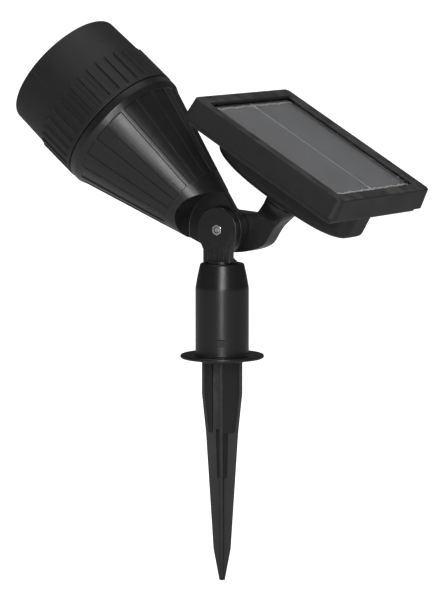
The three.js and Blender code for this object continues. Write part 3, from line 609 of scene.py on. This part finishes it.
def buildSleeve():
    s = sleeve
    profile = rounded([
        (s["bore"], 0), (s["flange"], 0), (s["flange"], s["flangeThick"]), (s["radius"], s["flangeThick"]),
        (s["radius"], s["taper"]), (s["top"] + s["shoulderIn"], s["taper"] + s["shoulderRise"]),
        (s["top"], s["height"]),
        (s["hole"], s["height"]), (s["hole"], s["web"]), (s["bore"], s["web"])],
        [0.5, 1.2, 1.2, 0.9, 14, 8, 1.6, 0.5, 0.5, 0.5], 7)
    body = turnedPiece("sleeveBody", profile, stakeFrame, 192)
    wide, above, below = s["window"]  # half width, then height over and under the snap tongue's middle
    window = boxPiece("snapWindow", (-wide, -s["flange"] - 2, spike["snap"] - below),
                      (wide, 1 - s["bore"], spike["snap"] + above), stakeFrame)
    cut(body, window)
    fit(body, "housing", "stake", "black_plastic", "ground_sleeve")


# stem
stem = {
    "base": 66.3, "half": 11.0, "shoulder": 75.5, "ear": 16.0, "front": -7.8, "thick": 5.8, "flank": 81.0,
    "block": 8.0, "blockTop": 69.3, "blockBack": 4.5, "journal": 10.3, "journalEnd": 49.7, "bolt": 2.3,
    "nutSeat": 3.65, "seatDepth": 3.7, "screwHole": 2.2, "groove": 1.3, "grooveDepth": 0.9, "grooveTop": 74.0,
    "grooveSpots": (-6.4, -2.1, 2.1, 6.4),
}


def pivotArc(radius, low, high, steps=40):
    return [(radius * math.cos(a * degree), pivot.z + radius * math.sin(a * degree))
            for a in (low + (high - low) * i / steps for i in range(steps + 1))]


def buildStem():
    s = stem
    back = s["front"] + s["thick"]
    dip = math.degrees(math.asin((pivot.z - s["flank"]) / s["ear"]))
    outline = [(-s["half"], s["base"]), (s["half"], s["base"]), (s["half"], s["shoulder"])]
    outline += pivotArc(s["ear"], -dip, 180 + dip, 72) + [(-s["half"], s["shoulder"])]
    body = softenEdges(slabPiece("stemBody", outline, s["front"], back), 0.9, 4)
    block = boxPiece("stemBlock", (-s["block"], back - 2, s["base"]),
                     (s["block"], s["blockBack"], s["blockTop"]))
    combine(body, softenEdges(block, 0.6))
    journal = barPiece("stemJournal", s["journal"], s["journalEnd"], s["base"] + 1.5, sides=128)
    combine(body, softenEdges(journal, 0.5))
    for x in s["grooveSpots"]:
        groove = boxPiece("stemGroove", (x - s["groove"], s["front"] - 2, s["base"] + s["grooveDepth"]),
                          (x + s["groove"], s["front"] + s["grooveDepth"], s["grooveTop"]))
        cut(body, softenEdges(groove, 0.45))
    seat = crossBar("nutSeat", s["nutSeat"] / math.cos(30 * degree), s["front"] - 1,
                    s["front"] + s["seatDepth"], z=pivot.z, sides=6, start=math.pi / 2)
    cut(body, seat)
    cut(body, crossBar("stemBoltHole", s["bolt"], -20, 20, z=pivot.z, sides=48))
    cut(body, barPiece("stemScrewHole", s["screwHole"], 40, 64, sides=32))
    fit(body, "housing", "stem", "black_plastic", "tilt_stem")


# pivot bolt and nut
bolt = {
    "radius": 2.0, "across": 7.0, "nutThick": 3.2, "nutGap": 0.1, "chamfer": (3.45, 4.1, 0.42), "head": 3.9,
    "headThick": 2.6, "seat": 23.1, "thread": 0.7, "threadDepth": 0.28, "threadEnd": 2.5,
    "drive": (0.42, 2.1, 1.1),
}


def buildFasteners():
    s = bolt
    front = stem["front"] + s["nutGap"]
    corner = s["across"] / 2 / math.cos(30 * degree)
    nut = crossBar("pivotNut", corner, front, front + s["nutThick"], z=pivot.z, sides=6, start=math.pi / 2)
    softenEdges(nut, 0.25)
    dome = Matrix.Translation((0, (front - 0.02) * mm, pivot.z * mm)) @ Matrix.Rotation(-90 * degree, 4, "X")
    low, high, rise = s["chamfer"]
    cone = turnedPiece("nutChamfer", [(0, 0), (low, 0), (high, rise), (high, s["nutThick"] + 0.1),
                                      (0, s["nutThick"] + 0.1)], dome, 64)
    combine(nut, cone, "INTERSECT")
    cut(nut, crossBar("nutBore", s["radius"] + 0.25, -20, 20, z=pivot.z, sides=48))
    fit(nut, "zinc", "stem", "zinc_steel", "pivot_nut")
    along = Matrix.Translation((0, 0, pivot.z * mm)) @ Matrix.Rotation(-90 * degree, 4, "X")
    profile = [(0, stem["front"]), (s["radius"] - 0.5, stem["front"]), (s["radius"], stem["front"] + 0.5)]
    z = stem["front"] + 0.5
    while z < s["threadEnd"]:  # thread ridges over the end that carries the nut
        profile += [(s["radius"] - s["threadDepth"], z + s["thread"] / 2), (s["radius"], z + s["thread"])]
        z += s["thread"]
    top = s["seat"] + s["headThick"]
    profile += [(s["radius"], s["seat"]), (s["head"], s["seat"]), (s["head"], s["seat"] + 1.2)]
    profile += [(s["head"] * 0.86, top - 0.45), (s["head"] * 0.5, top - 0.08), (0, top)]
    body = turnedPiece("pivotBolt", profile, along, 64)
    wide, reach, deep = s["drive"]
    for name, turn in (("driveUp", 0), ("driveAcross", 90)):
        turned = along @ Matrix.Rotation(turn * degree, 4, "Z")
        cut(body, boxPiece(name, (-wide, -reach, top - deep), (wide, reach, top + 2), turned))
    fit(body, "zinc", "stem", "zinc_steel", "pivot_bolt")


# lamp housing
housing = {
    "base": 16.8, "slope": 0.295, "coneEnd": 99.0, "shoulder": 47.2, "seam": 106.5, "spigot": 43.6,
    "spigotInner": 41.2, "spigotEnd": 114.5, "wall": 3.0, "cavity": 45.0, "ledge": 96.5, "ledgeRadius": 39.2,
    "flutes": 20, "fluteStart": 31.0, "fluteEnd": 97.0, "depth": 0.85, "rib": 3.6, "soft": 0.55,
    "tongueFront": -1.7, "tongueThick": 9.5, "tongue": 16.5, "relief": 26.0,
}


def coneRadius(place):
    return housing["base"] + housing["slope"] * place


def fluteColumns(place):  # angle and depth share of each column round the cone at one height
    h = housing
    place = min(max(place, h["fluteStart"]), h["fluteEnd"])
    pitch = 2 * math.pi / h["flutes"]
    edge = (pitch * coneRadius(place) - h["rib"]) / 2
    soft = h["soft"]
    offsets = [edge * t for t in (0, 0.3, 0.6, 0.85)]
    offsets += [edge - soft * t for t in (0.6, 0.3, 0.0)] + [edge + soft * t for t in (0.25, 0.5, 0.75, 1.0)]
    shares = [1 - smoothStep((o - edge + soft * 0.1) / soft) for o in offsets]
    offsets.append(pitch * coneRadius(place) / 2)
    shares.append(0.0)
    half = list(zip(offsets, shares))
    columns = []
    for i in range(h["flutes"]):
        middle = (i + 0.5) * pitch
        for o, share in [(-o, share) for o, share in reversed(half[1:-1])] + half:
            columns.append((middle + o / coneRadius(place), share))
    return columns


def fluteRow(place, radius, fade):
    columns = [(radius - housing["depth"] * share * fade, a) for a, share in fluteColumns(place)]
    return [(r * math.cos(a), r * math.sin(a), place) for r, a in columns]


def buildHousing():
    h = housing
    soft = h["soft"]
    places = [(0.0, 0), (8, 0), (16, 0), (24, 0), (28, 0)]
    places += [(h["fluteStart"] + soft * t, smoothStep(t)) for t in (0, 0.25, 0.5, 0.75, 1.0)]
    places += [(h["fluteStart"] + 3 + k * (h["fluteEnd"] - h["fluteStart"] - 6) / 22, 1) for k in range(23)]
    places += [(h["fluteEnd"] - soft * (1 - t), 1 - smoothStep(t)) for t in (0, 0.25, 0.5, 0.75, 1.0)]
    rows = [fluteRow(place, coneRadius(place), fade) for place, fade in places]
    last = coneRadius(h["fluteEnd"])
    rest = rounded([(last, h["fluteEnd"]), (h["shoulder"], h["coneEnd"] + 2), (h["shoulder"], h["seam"]),
                    (h["spigot"], h["seam"]), (h["spigot"], h["spigotEnd"]),
                    (h["spigotInner"], h["spigotEnd"]), (h["spigotInner"], h["ledge"]),
                    (h["ledgeRadius"], h["ledge"]),
                    (h["ledgeRadius"], (h["ledgeRadius"] + h["wall"] - h["base"]) / h["slope"]),
                    (coneRadius(h["cavity"]) - h["wall"], h["cavity"])],
                   [0, 2.5, 0.7, 0.4, 0.4, 0.4, 0, 0.3, 1, 3], 5)
    angles = [a for a, share in fluteColumns(h["fluteEnd"])]
    rows += [[(r * math.cos(a), r * math.sin(a), z) for a in angles] for r, z in rest]
    body = loopPiece("lampHousing", rows, headFrame, ring=False)
    back = h["tongueFront"] + h["tongueThick"]
    for name, low, high in (("reliefNear", -60, h["tongueFront"]), ("reliefFar", back, 60)):
        cut(body, softenEdges(crossBar(name, h["relief"], low, high, headFrame, sides=160), 0.8))
    tongue = crossBar("tongueEnd", h["tongue"], h["tongueFront"], back, headFrame, sides=120)
    combine(body, softenEdges(tongue, 0.5))
    cut(body, crossBar("tongueBore", stem["bolt"], -30, 30, headFrame, sides=48))
    fit(body, "housing", "head", "black_plastic", "lamp_housing")


# bezel ring
bezel = {
    "start": 107.0, "bandEnd": 138.0, "ring": 3.0, "band": 47.6, "shroud": 46.4, "front": 45.6, "end": 168.0,
    "edge": 4.6, "bore": 43.9, "lip": 40.4, "lipStart": 150.0, "lipEnd": 153.0, "mouth": 42.4,
    "fingers": 36, "fingerWidth": 4.3, "fingerEnd": 137.0, "fingerRound": 1.7, "soft": 0.5,
}


def fingerShare(x, z):  # 1 on a finger, 0 in a groove, with a soft step between
    b = bezel
    half, radius = b["fingerWidth"] / 2, b["fingerRound"]
    dx = abs(x) - (half - radius)
    dz = z - (b["fingerEnd"] - radius)
    gap = math.hypot(max(dx, 0), max(dz, 0)) + min(max(dx, dz), 0) - radius
    groove = 1 - smoothStep((gap + b["soft"] / 2) / b["soft"])
    ringEdge = b["start"] + b["ring"]
    return max(groove, 1 - smoothStep((z - ringEdge) / b["soft"]))


def buildBezel():
    b = bezel
    pitch = 2 * math.pi / b["fingers"]
    halfPitch = pitch * b["band"] / 2
    half = b["fingerWidth"] / 2
    offsets = [0, half * 0.35, half * 0.6, half * 0.8, half - 0.3, half - 0.12, half, half + 0.12, half + 0.3]
    offsets += [half + (halfPitch - half) * t for t in (0.4, 0.7, 1.0)]
    columns = []
    for i in range(b["fingers"]):
        for o in [-o for o in reversed(offsets[1:-1])] + offsets:
            columns.append((i * pitch + o / b["band"], o))
    start, ring, end = b["start"], b["start"] + b["ring"], b["fingerEnd"]
    places = [start + 0.6, start + 1.6, ring - 0.3, ring, ring + 0.12, ring + 0.25, ring + 0.38, ring + 0.5]
    places += [ring + 1.2 + k * (end - ring - 4.2) / 12 for k in range(13)]
    places += [end - 2.6 + 0.24 * k for k in range(13)]
    rise = b["band"] - b["shroud"]
    rows = []
    for z in places:
        radii = [b["shroud"] + rise * fingerShare(x, z) for angle, x in columns]
        rows.append([(r * math.cos(a), r * math.sin(a), z) for r, (a, x) in zip(radii, columns)])
    front = rounded([(b["shroud"], b["bandEnd"]), (b["front"], b["end"]), (b["mouth"], b["end"] - 0.4),
                     (b["lip"], b["lipEnd"]), (b["lip"], b["lipStart"]), (b["bore"], b["lipStart"]),
                     (b["bore"], start), (b["band"], start)],
                    [0, b["edge"], 1.6, 0.8, 0.4, 0, 0.4, 0.5], 7)
    rows += [[(r * math.cos(a), r * math.sin(a), z) for a, x in columns] for r, z in front]
    body = loopPiece("bezelRing", rows, headFrame)
    fit(body, "bezel", "bezel", "black_plastic", "bezel_ring")


# optics seen through the mouth of the bezel
optics = {
    "lens": 43.35, "lensBack": 145.9, "lensThick": 2.6, "dome": 0.7, "reflectorRim": 40.7, "throat": 9.0,
    "reflectorBase": 106.3, "reflectorTop": 145.6, "wall": 1.2, "steps": 26,
    "emitterBase": 102.0, "emitter": 5.5, "emitterThick": 1.8, "emitterFoot": 0.7,
}


def buildOptics():
    o = optics
    back, top = o["lensBack"], o["lensBack"] + o["lensThick"]
    angles = [9 * t * degree for t in range(11)]
    curve = [(o["lens"] * math.cos(a) * 0.9, top - o["dome"] * (1 - math.sin(a))) for a in angles]
    lens = turnedPiece("frontLens", rounded([(0, back), (o["lens"], back), (o["lens"], top - o["dome"])],
                                            [0, 0.4, 0.3], 4) + curve, headFrame, 192)
    fit(lens, "lens", "bezel", "clear_lens", "front_lens")
    inside = []
    for i in range(o["steps"] + 1):
        share = i / o["steps"]
        reach = o["throat"] + (o["reflectorRim"] - 1.8 - o["throat"]) * math.sqrt(share)
        inside.append((reach, o["reflectorBase"] + (o["reflectorTop"] - o["reflectorBase"]) * share))
    outside = [(r + o["wall"], z) for r, z in reversed(inside)]
    rim = [(o["reflectorRim"], o["reflectorTop"]), (o["reflectorRim"], o["reflectorTop"] - 1.5)]
    cup = turnedPiece("reflectorCup", inside + rim + outside[1:], headFrame, 192)
    fit(cup, "mirror", "head", "mirror_coat", "reflector")
    base, foot = o["emitterBase"], o["emitterFoot"]
    angles = [10 * t * degree for t in range(10)]
    rise = o["emitterThick"] - foot
    dome = [(o["emitter"] * math.cos(a) * 0.82, base + foot + rise * math.sin(a)) for a in angles]
    bottom = [(0, base), (o["emitter"], base), (o["emitter"], base + foot - 0.1)]
    led = turnedPiece("ledDome", bottom + dome, headFrame, 96)
    fit(led, "phosphor", "head", "phosphor", "led_emitter")


# arm
arm = {
    "front": 8.1, "thick": 14.0, "knuckle": 16.5, "barrel": 12.0, "neck": 14.0, "neckLeft": 11.4,
    "neckRight": 5.6, "crook": 12.0, "boss": 8.0, "bossLength": 4.0, "neckAngle": 128, "washerSeat": 7.8,
    "headSeat": 4.2, "screwHole": 2.2, "steps": 12,
}
panelCentre = Vector(joints["panel_swivel"]["pos_m"]) / mm
barrelDown = 49.2  # from the panel's top face to the barrel's end


def underPanel(along, down):
    point = panelFrame @ Vector((along * mm, 0, -down * mm)) / mm
    return point.x, point.z


def barrelRows():  # a disc that turns into the slab's rectangle on its way down
    s = arm
    near = s["front"] - panelCentre.y
    far = near + s["thick"]
    rows = []
    for k in range(s["steps"] + 1):
        share = k / s["steps"]
        ease = smoothStep(share * 0.96)
        down = -barrelDown - s["neck"] * share
        row = []
        for i in range(96):
            angle = 2 * math.pi * i / 96
            x, y = math.cos(angle), math.sin(angle)
            stretch = 1 / max(abs(x), abs(y))
            square = (x * stretch, y * stretch)
            boxX = s["neckRight"] * square[0] if square[0] > 0 else s["neckLeft"] * square[0]
            boxY = (near + far) / 2 + (far - near) / 2 * square[1]
            discX, discY = s["barrel"] * x, s["barrel"] * y
            row.append((discX * (1 - ease) + boxX * ease, discY * (1 - ease) + boxY * ease, down))
        rows.append(row)
    return rows


def buildArm():
    s = arm
    topHalf = s["barrel"] - 1.8
    neck = underPanel(s["neckRight"], barrelDown + s["neck"])
    right, left = underPanel(topHalf, barrelDown + 1), underPanel(-topHalf, barrelDown + 1)
    crookX, crookZ = underPanel(-s["neckLeft"], barrelDown + s["crook"])
    low = pivot.z - s["knuckle"]
    outline = [(0, low)] + bezier((0, low), (10, low - 0.6), (22, low + 2), (28, pivot.z - 10.5))
    outline += bezier((28, pivot.z - 10.5), (32, pivot.z - 7), (33, pivot.z - 2), neck)
    outline += [right, left, (crookX, crookZ)]
    outline += bezier((crookX, crookZ), (crookX - 1.7, crookZ - 2), (crookX - 4, crookZ - 2.7),
                      (crookX - 7, crookZ - 2.4), 8)
    outline += pivotArc(s["knuckle"], s["neckAngle"], 269, 80)
    back = s["front"] + s["thick"]
    body = softenEdges(slabPiece("panelArm", outline, s["front"], back), 1.1, 4)
    boss = crossBar("armBoss", s["boss"], back - 1.5, back + s["bossLength"], z=pivot.z)
    combine(body, softenEdges(boss, 0.8))
    barrel = loopPiece("armBarrel", barrelRows(), panelFrame, ring=False)
    combine(body, softenEdges(barrel, 0.6, angle=50))
    seat = back + s["bossLength"] - bolt["headThick"] - 0.7
    cut(body, crossBar("boltHeadSeat", s["headSeat"], seat, 60, z=pivot.z))
    cut(body, crossBar("armBore", stem["bolt"], -20, 60, z=pivot.z, sides=48))
    cut(body, crossBar("armWasherSeat", s["washerSeat"], s["front"] - 1, s["front"] + 1.3, z=pivot.z))
    hole = barPiece("armScrewHole", s["screwHole"], -barrelDown - s["neck"], -barrelDown + 5, panelFrame, 32)
    cut(body, hole)
    fit(body, "housing", "arm", "black_plastic", "panel_arm")


# panel case
case = {
    "length": 132.0, "width": 124.0, "depth": 15.0, "corner": 4.0, "border": 9.5, "lip": 1.8, "wall": 6.0,
    "edge": 0.8, "flare": 1.5, "coverInset": 2.0, "coverTop": 16.2, "coverDepth": 3.4, "coverWall": 2.5,
    "coverFloor": 2.0, "keelHalf": 59.0, "keelWide": 16.0, "keelDepth": 28.5, "keelCorner": 11.7,
    "keelRound": 9.0, "keelWall": 2.0, "bossReach": 0.8, "boss": 12.0, "screwInset": 13.0, "post": 4.0,
    "postTop": 7.4, "tieReach": 9.5, "pilot": 1.6, "coverPost": 5.4, "screwSeat": 3.1, "seatDepth": 2.6,
    "swivelBore": 2.2, "buttonHole": 4.3,
}


def caseRing(inset, z):
    c = case
    corner = max(c["corner"] - inset, 0.8)
    return rectRing(c["length"] - 2 * inset, c["width"] - 2 * inset, corner, z)


def caseSweep(name, profile, place=panelFrame):  # a closed profile of inset and height, swept round
    return loopPiece(name, [caseRing(inset, z) for inset, z in profile], place)


screwX, screwY = case["length"] / 2 - case["screwInset"], case["width"] / 2 - case["screwInset"]
screwSpots = [(sx * screwX, sy * screwY) for sx in (1, -1) for sy in (1, -1)]


def buildFrame():
    c = case
    profile = rounded([
        (-c["flare"], -c["depth"]), (0.0, 0.0), (c["border"] - 1.2, -0.25),
        (c["border"], -c["lip"]), (c["wall"], -c["lip"]), (c["wall"], -c["depth"])],
        [0.4, c["edge"], 0.5, 0.25, 0.6, 0.3], 5)
    body = caseSweep("panelFrame", profile)
    foot, top = -c["depth"], -c["postTop"]
    for x, y in screwSpots:
        post = barPiece("framePost", c["post"], foot, top, panelFrame, 48, (x, y))
        low, high = sorted((x, x + math.copysign(c["tieReach"], x)))  # a tie joins the post to the wall
        combine(post, boxPiece("frameTie", (low, y - 2, foot), (high, y + 2, top), panelFrame))
        cut(post, barPiece("pilot", c["pilot"], foot - 1, top - 0.9, panelFrame, 32, (x, y)))
        combine(body, post)
    fit(body, "panelCase", "panel", "black_plastic", "panel_frame")


def keelOutline(shrink, top):  # side view of the battery bulge, along and down, left to right
    c = case
    half, base = c["keelHalf"] - shrink, c["coverTop"] + c["coverDepth"]
    depth, corner = base + c["keelDepth"] - shrink, base + c["keelCorner"] + c["keelRound"] * 0.55 - shrink
    inner = half - 3.2
    curve = bezier((half, corner), (half - 0.4, corner + 3.6), (inner - 1, corner + 5.4),
                   (inner - 7, corner + 7.4), 10)
    belly = bezier(curve[-1], (inner - 16, corner + 9.8), (30, depth), (0, depth), 16)
    right = [(half, top), (half, corner)] + curve + belly
    return [(-x, z) for x, z in right[:-1]] + list(reversed(right))


def keelPiece(name, shrink, top):  # the side view swept across, drawn in towards both flanks
    c = case
    wide, rounding = c["keelWide"] - shrink, c["keelRound"]
    side = keelOutline(shrink, top)
    rows = []
    for i in range(21):
        angle = (-90 + 180 * i / 20) * degree
        y = math.sin(angle) * rounding + (wide - rounding) * (1 if angle > 0 else -1 if angle < 0 else 0)
        pull = rounding * (1 - math.cos(angle))
        row = []
        for x, z in side:
            shareX, shareZ = x / (c["keelHalf"] - shrink), max(z - top - 6, 0) / c["keelDepth"]
            row.append((x - pull * shareX ** 5, y, -max(z - pull * min(shareZ, 1) ** 0.8, top)))
        rows.append(row)
    return loopPiece(name, rows, panelFrame, ring=False)


def buildCover():
    c = case
    top, base = c["coverTop"], c["coverTop"] + c["coverDepth"]
    shell = loopPiece("backCover", [caseRing(inset, z) for inset, z in (
        (c["coverInset"], -top), (c["coverInset"], -base + 1.2), (c["coverInset"] + 0.35, -base + 0.35),
        (c["coverInset"] + 1.2, -base))], panelFrame, ring=False)
    combine(shell, keelPiece("keelShell", 0, base - 1))
    bossStart, bossEnd = 3 - base - c["keelDepth"], -base - c["keelDepth"] - c["bossReach"]
    profile = rounded([(0, bossStart), (c["boss"], bossStart), (c["boss"], bossEnd), (0, bossEnd)],
                      [0, 0, 0.3, 0], 5)
    combine(shell, turnedPiece("coverBoss", profile, panelFrame, 128))
    cut(shell, keelPiece("keelRoom", c["keelWall"], top - 1))
    inner = c["coverInset"] + c["coverWall"]
    room = [caseRing(inner, 1 - top), caseRing(inner, c["coverFloor"] - base)]
    cut(shell, loopPiece("coverRoom", room, panelFrame, ring=False))
    for spot in screwSpots:
        combine(shell, barPiece("coverPost", c["coverPost"], -base, -top, panelFrame, 64, spot))
        seatTop = -base + c["seatDepth"]
        cut(shell, barPiece("coverSeat", c["screwSeat"], -base - 1, seatTop, panelFrame, 48, spot))
        cut(shell, barPiece("coverHole", c["pilot"], -60, 0, panelFrame, 32, spot))
    cut(shell, barPiece("swivelBore", c["swivelBore"], bossEnd - 1, -20, panelFrame, 48))
    cut(shell, barPiece("buttonHole", c["buttonHole"], -40, -top, panelFrame, 64, button["spot"]))
    fit(shell, "panelCase", "panel", "black_plastic", "back_cover")


button = {
    "spot": (-38.0, 39.0), "radius": 4.0, "stand": 3.0, "flange": 5.4, "flangeLow": 0.3, "flangeHigh": 1.3,
    "dish": 0.5, "dishShare": 0.62,
}


def buildButton():
    b, c = button, case
    base = -c["coverTop"] - c["coverDepth"]
    inside = base + c["coverFloor"]
    low, high, top = inside + b["flangeLow"], inside + b["flangeHigh"], base - b["stand"]
    angles = [15 * t * degree for t in range(6)]
    dish = [(b["radius"] * b["dishShare"] * math.cos(a), top + b["dish"] * math.sin(a)) for a in angles]
    profile = rounded([(0, high), (b["flange"], high), (b["flange"], low), (b["radius"], low),
                       (b["radius"], top)], [0, 0.2, 0.2, 0.1, 0.7], 5)
    place = panelFrame @ Matrix.Translation((b["spot"][0] * mm, b["spot"][1] * mm, 0))
    cap = turnedPiece("switchButton", profile + dish + [(0, top + b["dish"])], place, 96)
    fit(cap, "rubber", "button", "seal_rubber", "switch_button")


# ribbons and printed lines on the cells, under the cover
cells = {
    "half": (55.5, 51.5), "ribbonTop": -4.64, "ribbonThick": 0.12, "ribbonWide": 1.3, "ribbonSteps": 60,
    "wave": 0.8, "waves": (0.55, 0.21), "tab": (5.4, 2.6), "inset": 2.0, "middleWide": 1.0, "rimWide": 0.5,
    "rimInset": 0.35, "waver": 0.06, "lineSteps": 40,
}


def ribbonPiece(name, centreLine, wide, thick, top):
    points, faces = [], []
    for k, (x, y) in enumerate(centreLine):
        ahead = Vector(centreLine[min(k + 1, len(centreLine) - 1)])
        behind = Vector(centreLine[max(k - 1, 0)])
        side = (ahead - behind).normalized()
        side = Vector((-side.y, side.x)) * wide / 2
        points += [(x + side.x, y + side.y, top), (x - side.x, y - side.y, top),
                   (x - side.x, y - side.y, top - thick), (x + side.x, y + side.y, top - thick)]
    for k in range(len(centreLine) - 1):
        a, b = 4 * k, 4 * k + 4
        faces += [(a + i, a + (i + 1) % 4, b + (i + 1) % 4, b + i) for i in range(4)]
    faces += [(3, 2, 1, 0), tuple(len(points) - 4 + i for i in range(4))]
    return makePiece(name, points, faces, panelFrame)


def buildRibbons():
    s = cells
    halfLong, halfWide = s["half"]
    top, thick = s["ribbonTop"], s["ribbonThick"]
    reach, wide = s["tab"]
    quick, slow = s["waves"]
    for name, side in (("ribbonHigh", -1), ("ribbonLow", 1)):
        line = []
        for i in range(s["ribbonSteps"] + 1):
            y = -halfWide + 2 * halfWide * i / s["ribbonSteps"]
            wave = s["wave"] * math.sin(y * quick + side) * math.sin(y * slow + 0.7)
            line.append((side * (halfLong - s["inset"] + wave), y))
        strip = ribbonPiece(name, line, s["ribbonWide"], thick, top)
        tabLine = [(side * (halfLong - reach), 0), (side * (halfLong + 0.6), 0)]
        combine(strip, ribbonPiece(name + "Tab", tabLine, wide, thick, top + 0.01))
        fit(strip, "ribbon", "panel", "zinc_steel")
    edge, steps = halfWide - s["rimInset"], s["lineSteps"]
    for name, y, wide in (("ribbonMiddle", 0, s["middleWide"]), ("printNear", -edge, s["rimWide"]),
                          ("printFar", edge, s["rimWide"])):  # joint of the two cells, and their printed rims
        line = [((halfLong - reach) * (2 * i / steps - 1), y + s["waver"] * math.sin(i * 1.3))
                for i in range(steps + 1)]
        fit(ribbonPiece(name, line, wide, thick, top), "ribbon", "panel", "zinc_steel")


print("building the stake")
buildSpike()
buildSleeve()
print("building the stem and its fasteners")
buildStem()
buildFasteners()
print("building the lamp head")
buildHousing()
buildBezel()
buildOptics()
print("building the arm and panel")
buildArm()
buildFrame()
buildCover()
buildButton()
buildRibbons()

# CAD nodes that stay get their finish and slightly broken edges
edgeBreak = {"width": 0.00012, "segments": 2, "angle": 40}
replaced = {
    "ground_spike", "ground_sleeve", "tilt_stem", "pivot_nut", "pivot_bolt", "lamp_housing", "bezel_ring",
    "front_lens", "reflector", "led_emitter", "panel_arm", "panel_frame", "back_cover", "switch_button",
}
slots = {row["node"]: row["material_slot"] for row in frame["record"]["subparts"]}
for node, piece in frame["nodes"].items():
    if node in replaced:
        continue
    piece.data.materials.clear()
    piece.data.materials.append(materials[slotMaterials[slots[node]]])
    change = piece.modifiers.new("brokenEdges", "BEVEL")
    change.width = edgeBreak["width"]
    change.segments = edgeBreak["segments"]
    change.limit_method = "ANGLE"
    change.angle_limit = edgeBreak["angle"] * degree
print("frame pieces finished")

# pale floor, soft room and lights
stage = {
    "drop": 0.001, "size": 14, "dark": (0.5, 0.5, 0.5), "light": (0.54, 0.54, 0.54), "cloud": 3.0,
    "rough": 0.9, "glow": 1.0, "room": 0.04, "soft": 0.55, "underGlass": 0.6,
}
lights = {  # place, aim, watts, width and height
    "frontBox": ((0.80, -1.43, 0.30), (0, 0, 0.02), 9, (0.2, 1.1)),
    "keyBox": ((0.90, -1.18, 0.62), (0, 0, 0.1), 4.5, (0.4, 0.45)),
    "backBox": ((-0.25, 1.35, 0.9), (0, 0, 0.15), 0.35, (1.3, 0.9)),
    "topBox": ((-0.25, 0.0, 1.5), (0, 0, 0.1), 6, (1.0, 1.0)),
}


def addFloor():
    size, z = stage["size"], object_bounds()[0].z - stage["drop"]
    corners = [(-size, -size, z), (size, -size, z), (size, size, z), (-size, size, z)]
    mesh = bpy.data.meshes.new("paleFloor")
    mesh.from_pydata(corners, [], [(0, 1, 2, 3)])
    floor = bpy.data.objects.new("paleFloor", mesh)
    bpy.context.collection.objects.link(floor)
    material, nodes, links, shader = newMaterial("palePaper")
    where = nodes.new("ShaderNodeTexCoord").outputs["Object"]
    cloud = noiseNode(nodes, links, where, stage["cloud"])
    links.new(mixColour(nodes, links, cloud, stage["dark"], stage["light"]), shader.inputs["Base Color"])
    shader.inputs["Roughness"].default_value = stage["rough"]
    shader.inputs["Emission Color"].default_value = (1, 1, 1, 1)
    seen = nodes.new("ShaderNodeLightPath").outputs["Is Camera Ray"]
    glow = mathNode(nodes, links, "MULTIPLY", seen, stage["glow"])
    links.new(glow, shader.inputs["Emission Strength"])
    mesh.materials.append(material)


def addWorld():  # plain white behind the object, a dimmer room in its reflections
    world = bpy.data.worlds.new("studio")
    world.use_nodes = True
    nodes, links = world.node_tree.nodes, world.node_tree.links
    nodes["Background"].inputs["Color"].default_value = (1, 1, 1, 1)
    path = nodes.new("ShaderNodeLightPath")
    strength = mathNode(nodes, links, "ADD", path.outputs["Is Camera Ray"], stage["room"])
    for output, share in (("Is Diffuse Ray", "soft"), ("Is Transmission Ray", "underGlass")):
        part = mathNode(nodes, links, "MULTIPLY", path.outputs[output], stage[share])
        strength = mathNode(nodes, links, "ADD", strength, part)
    links.new(strength, nodes["Background"].inputs["Strength"])
    bpy.context.scene.world = world


def addLight(name, place, aim, watts, size):
    data = bpy.data.lights.new(name, "AREA")
    data.energy = watts
    data.shape = "RECTANGLE"
    data.size, data.size_y = size
    light = bpy.data.objects.new(name, data)
    light.location = place
    light.rotation_euler = (Vector(place) - Vector(aim)).to_track_quat("Z", "Y").to_euler()
    bpy.context.collection.objects.link(light)


addFloor()
addWorld()
for name, values in lights.items():
    addLight(name, *values)
bpy.context.scene.view_settings.view_transform = "Standard"
print("stage and lights ready")
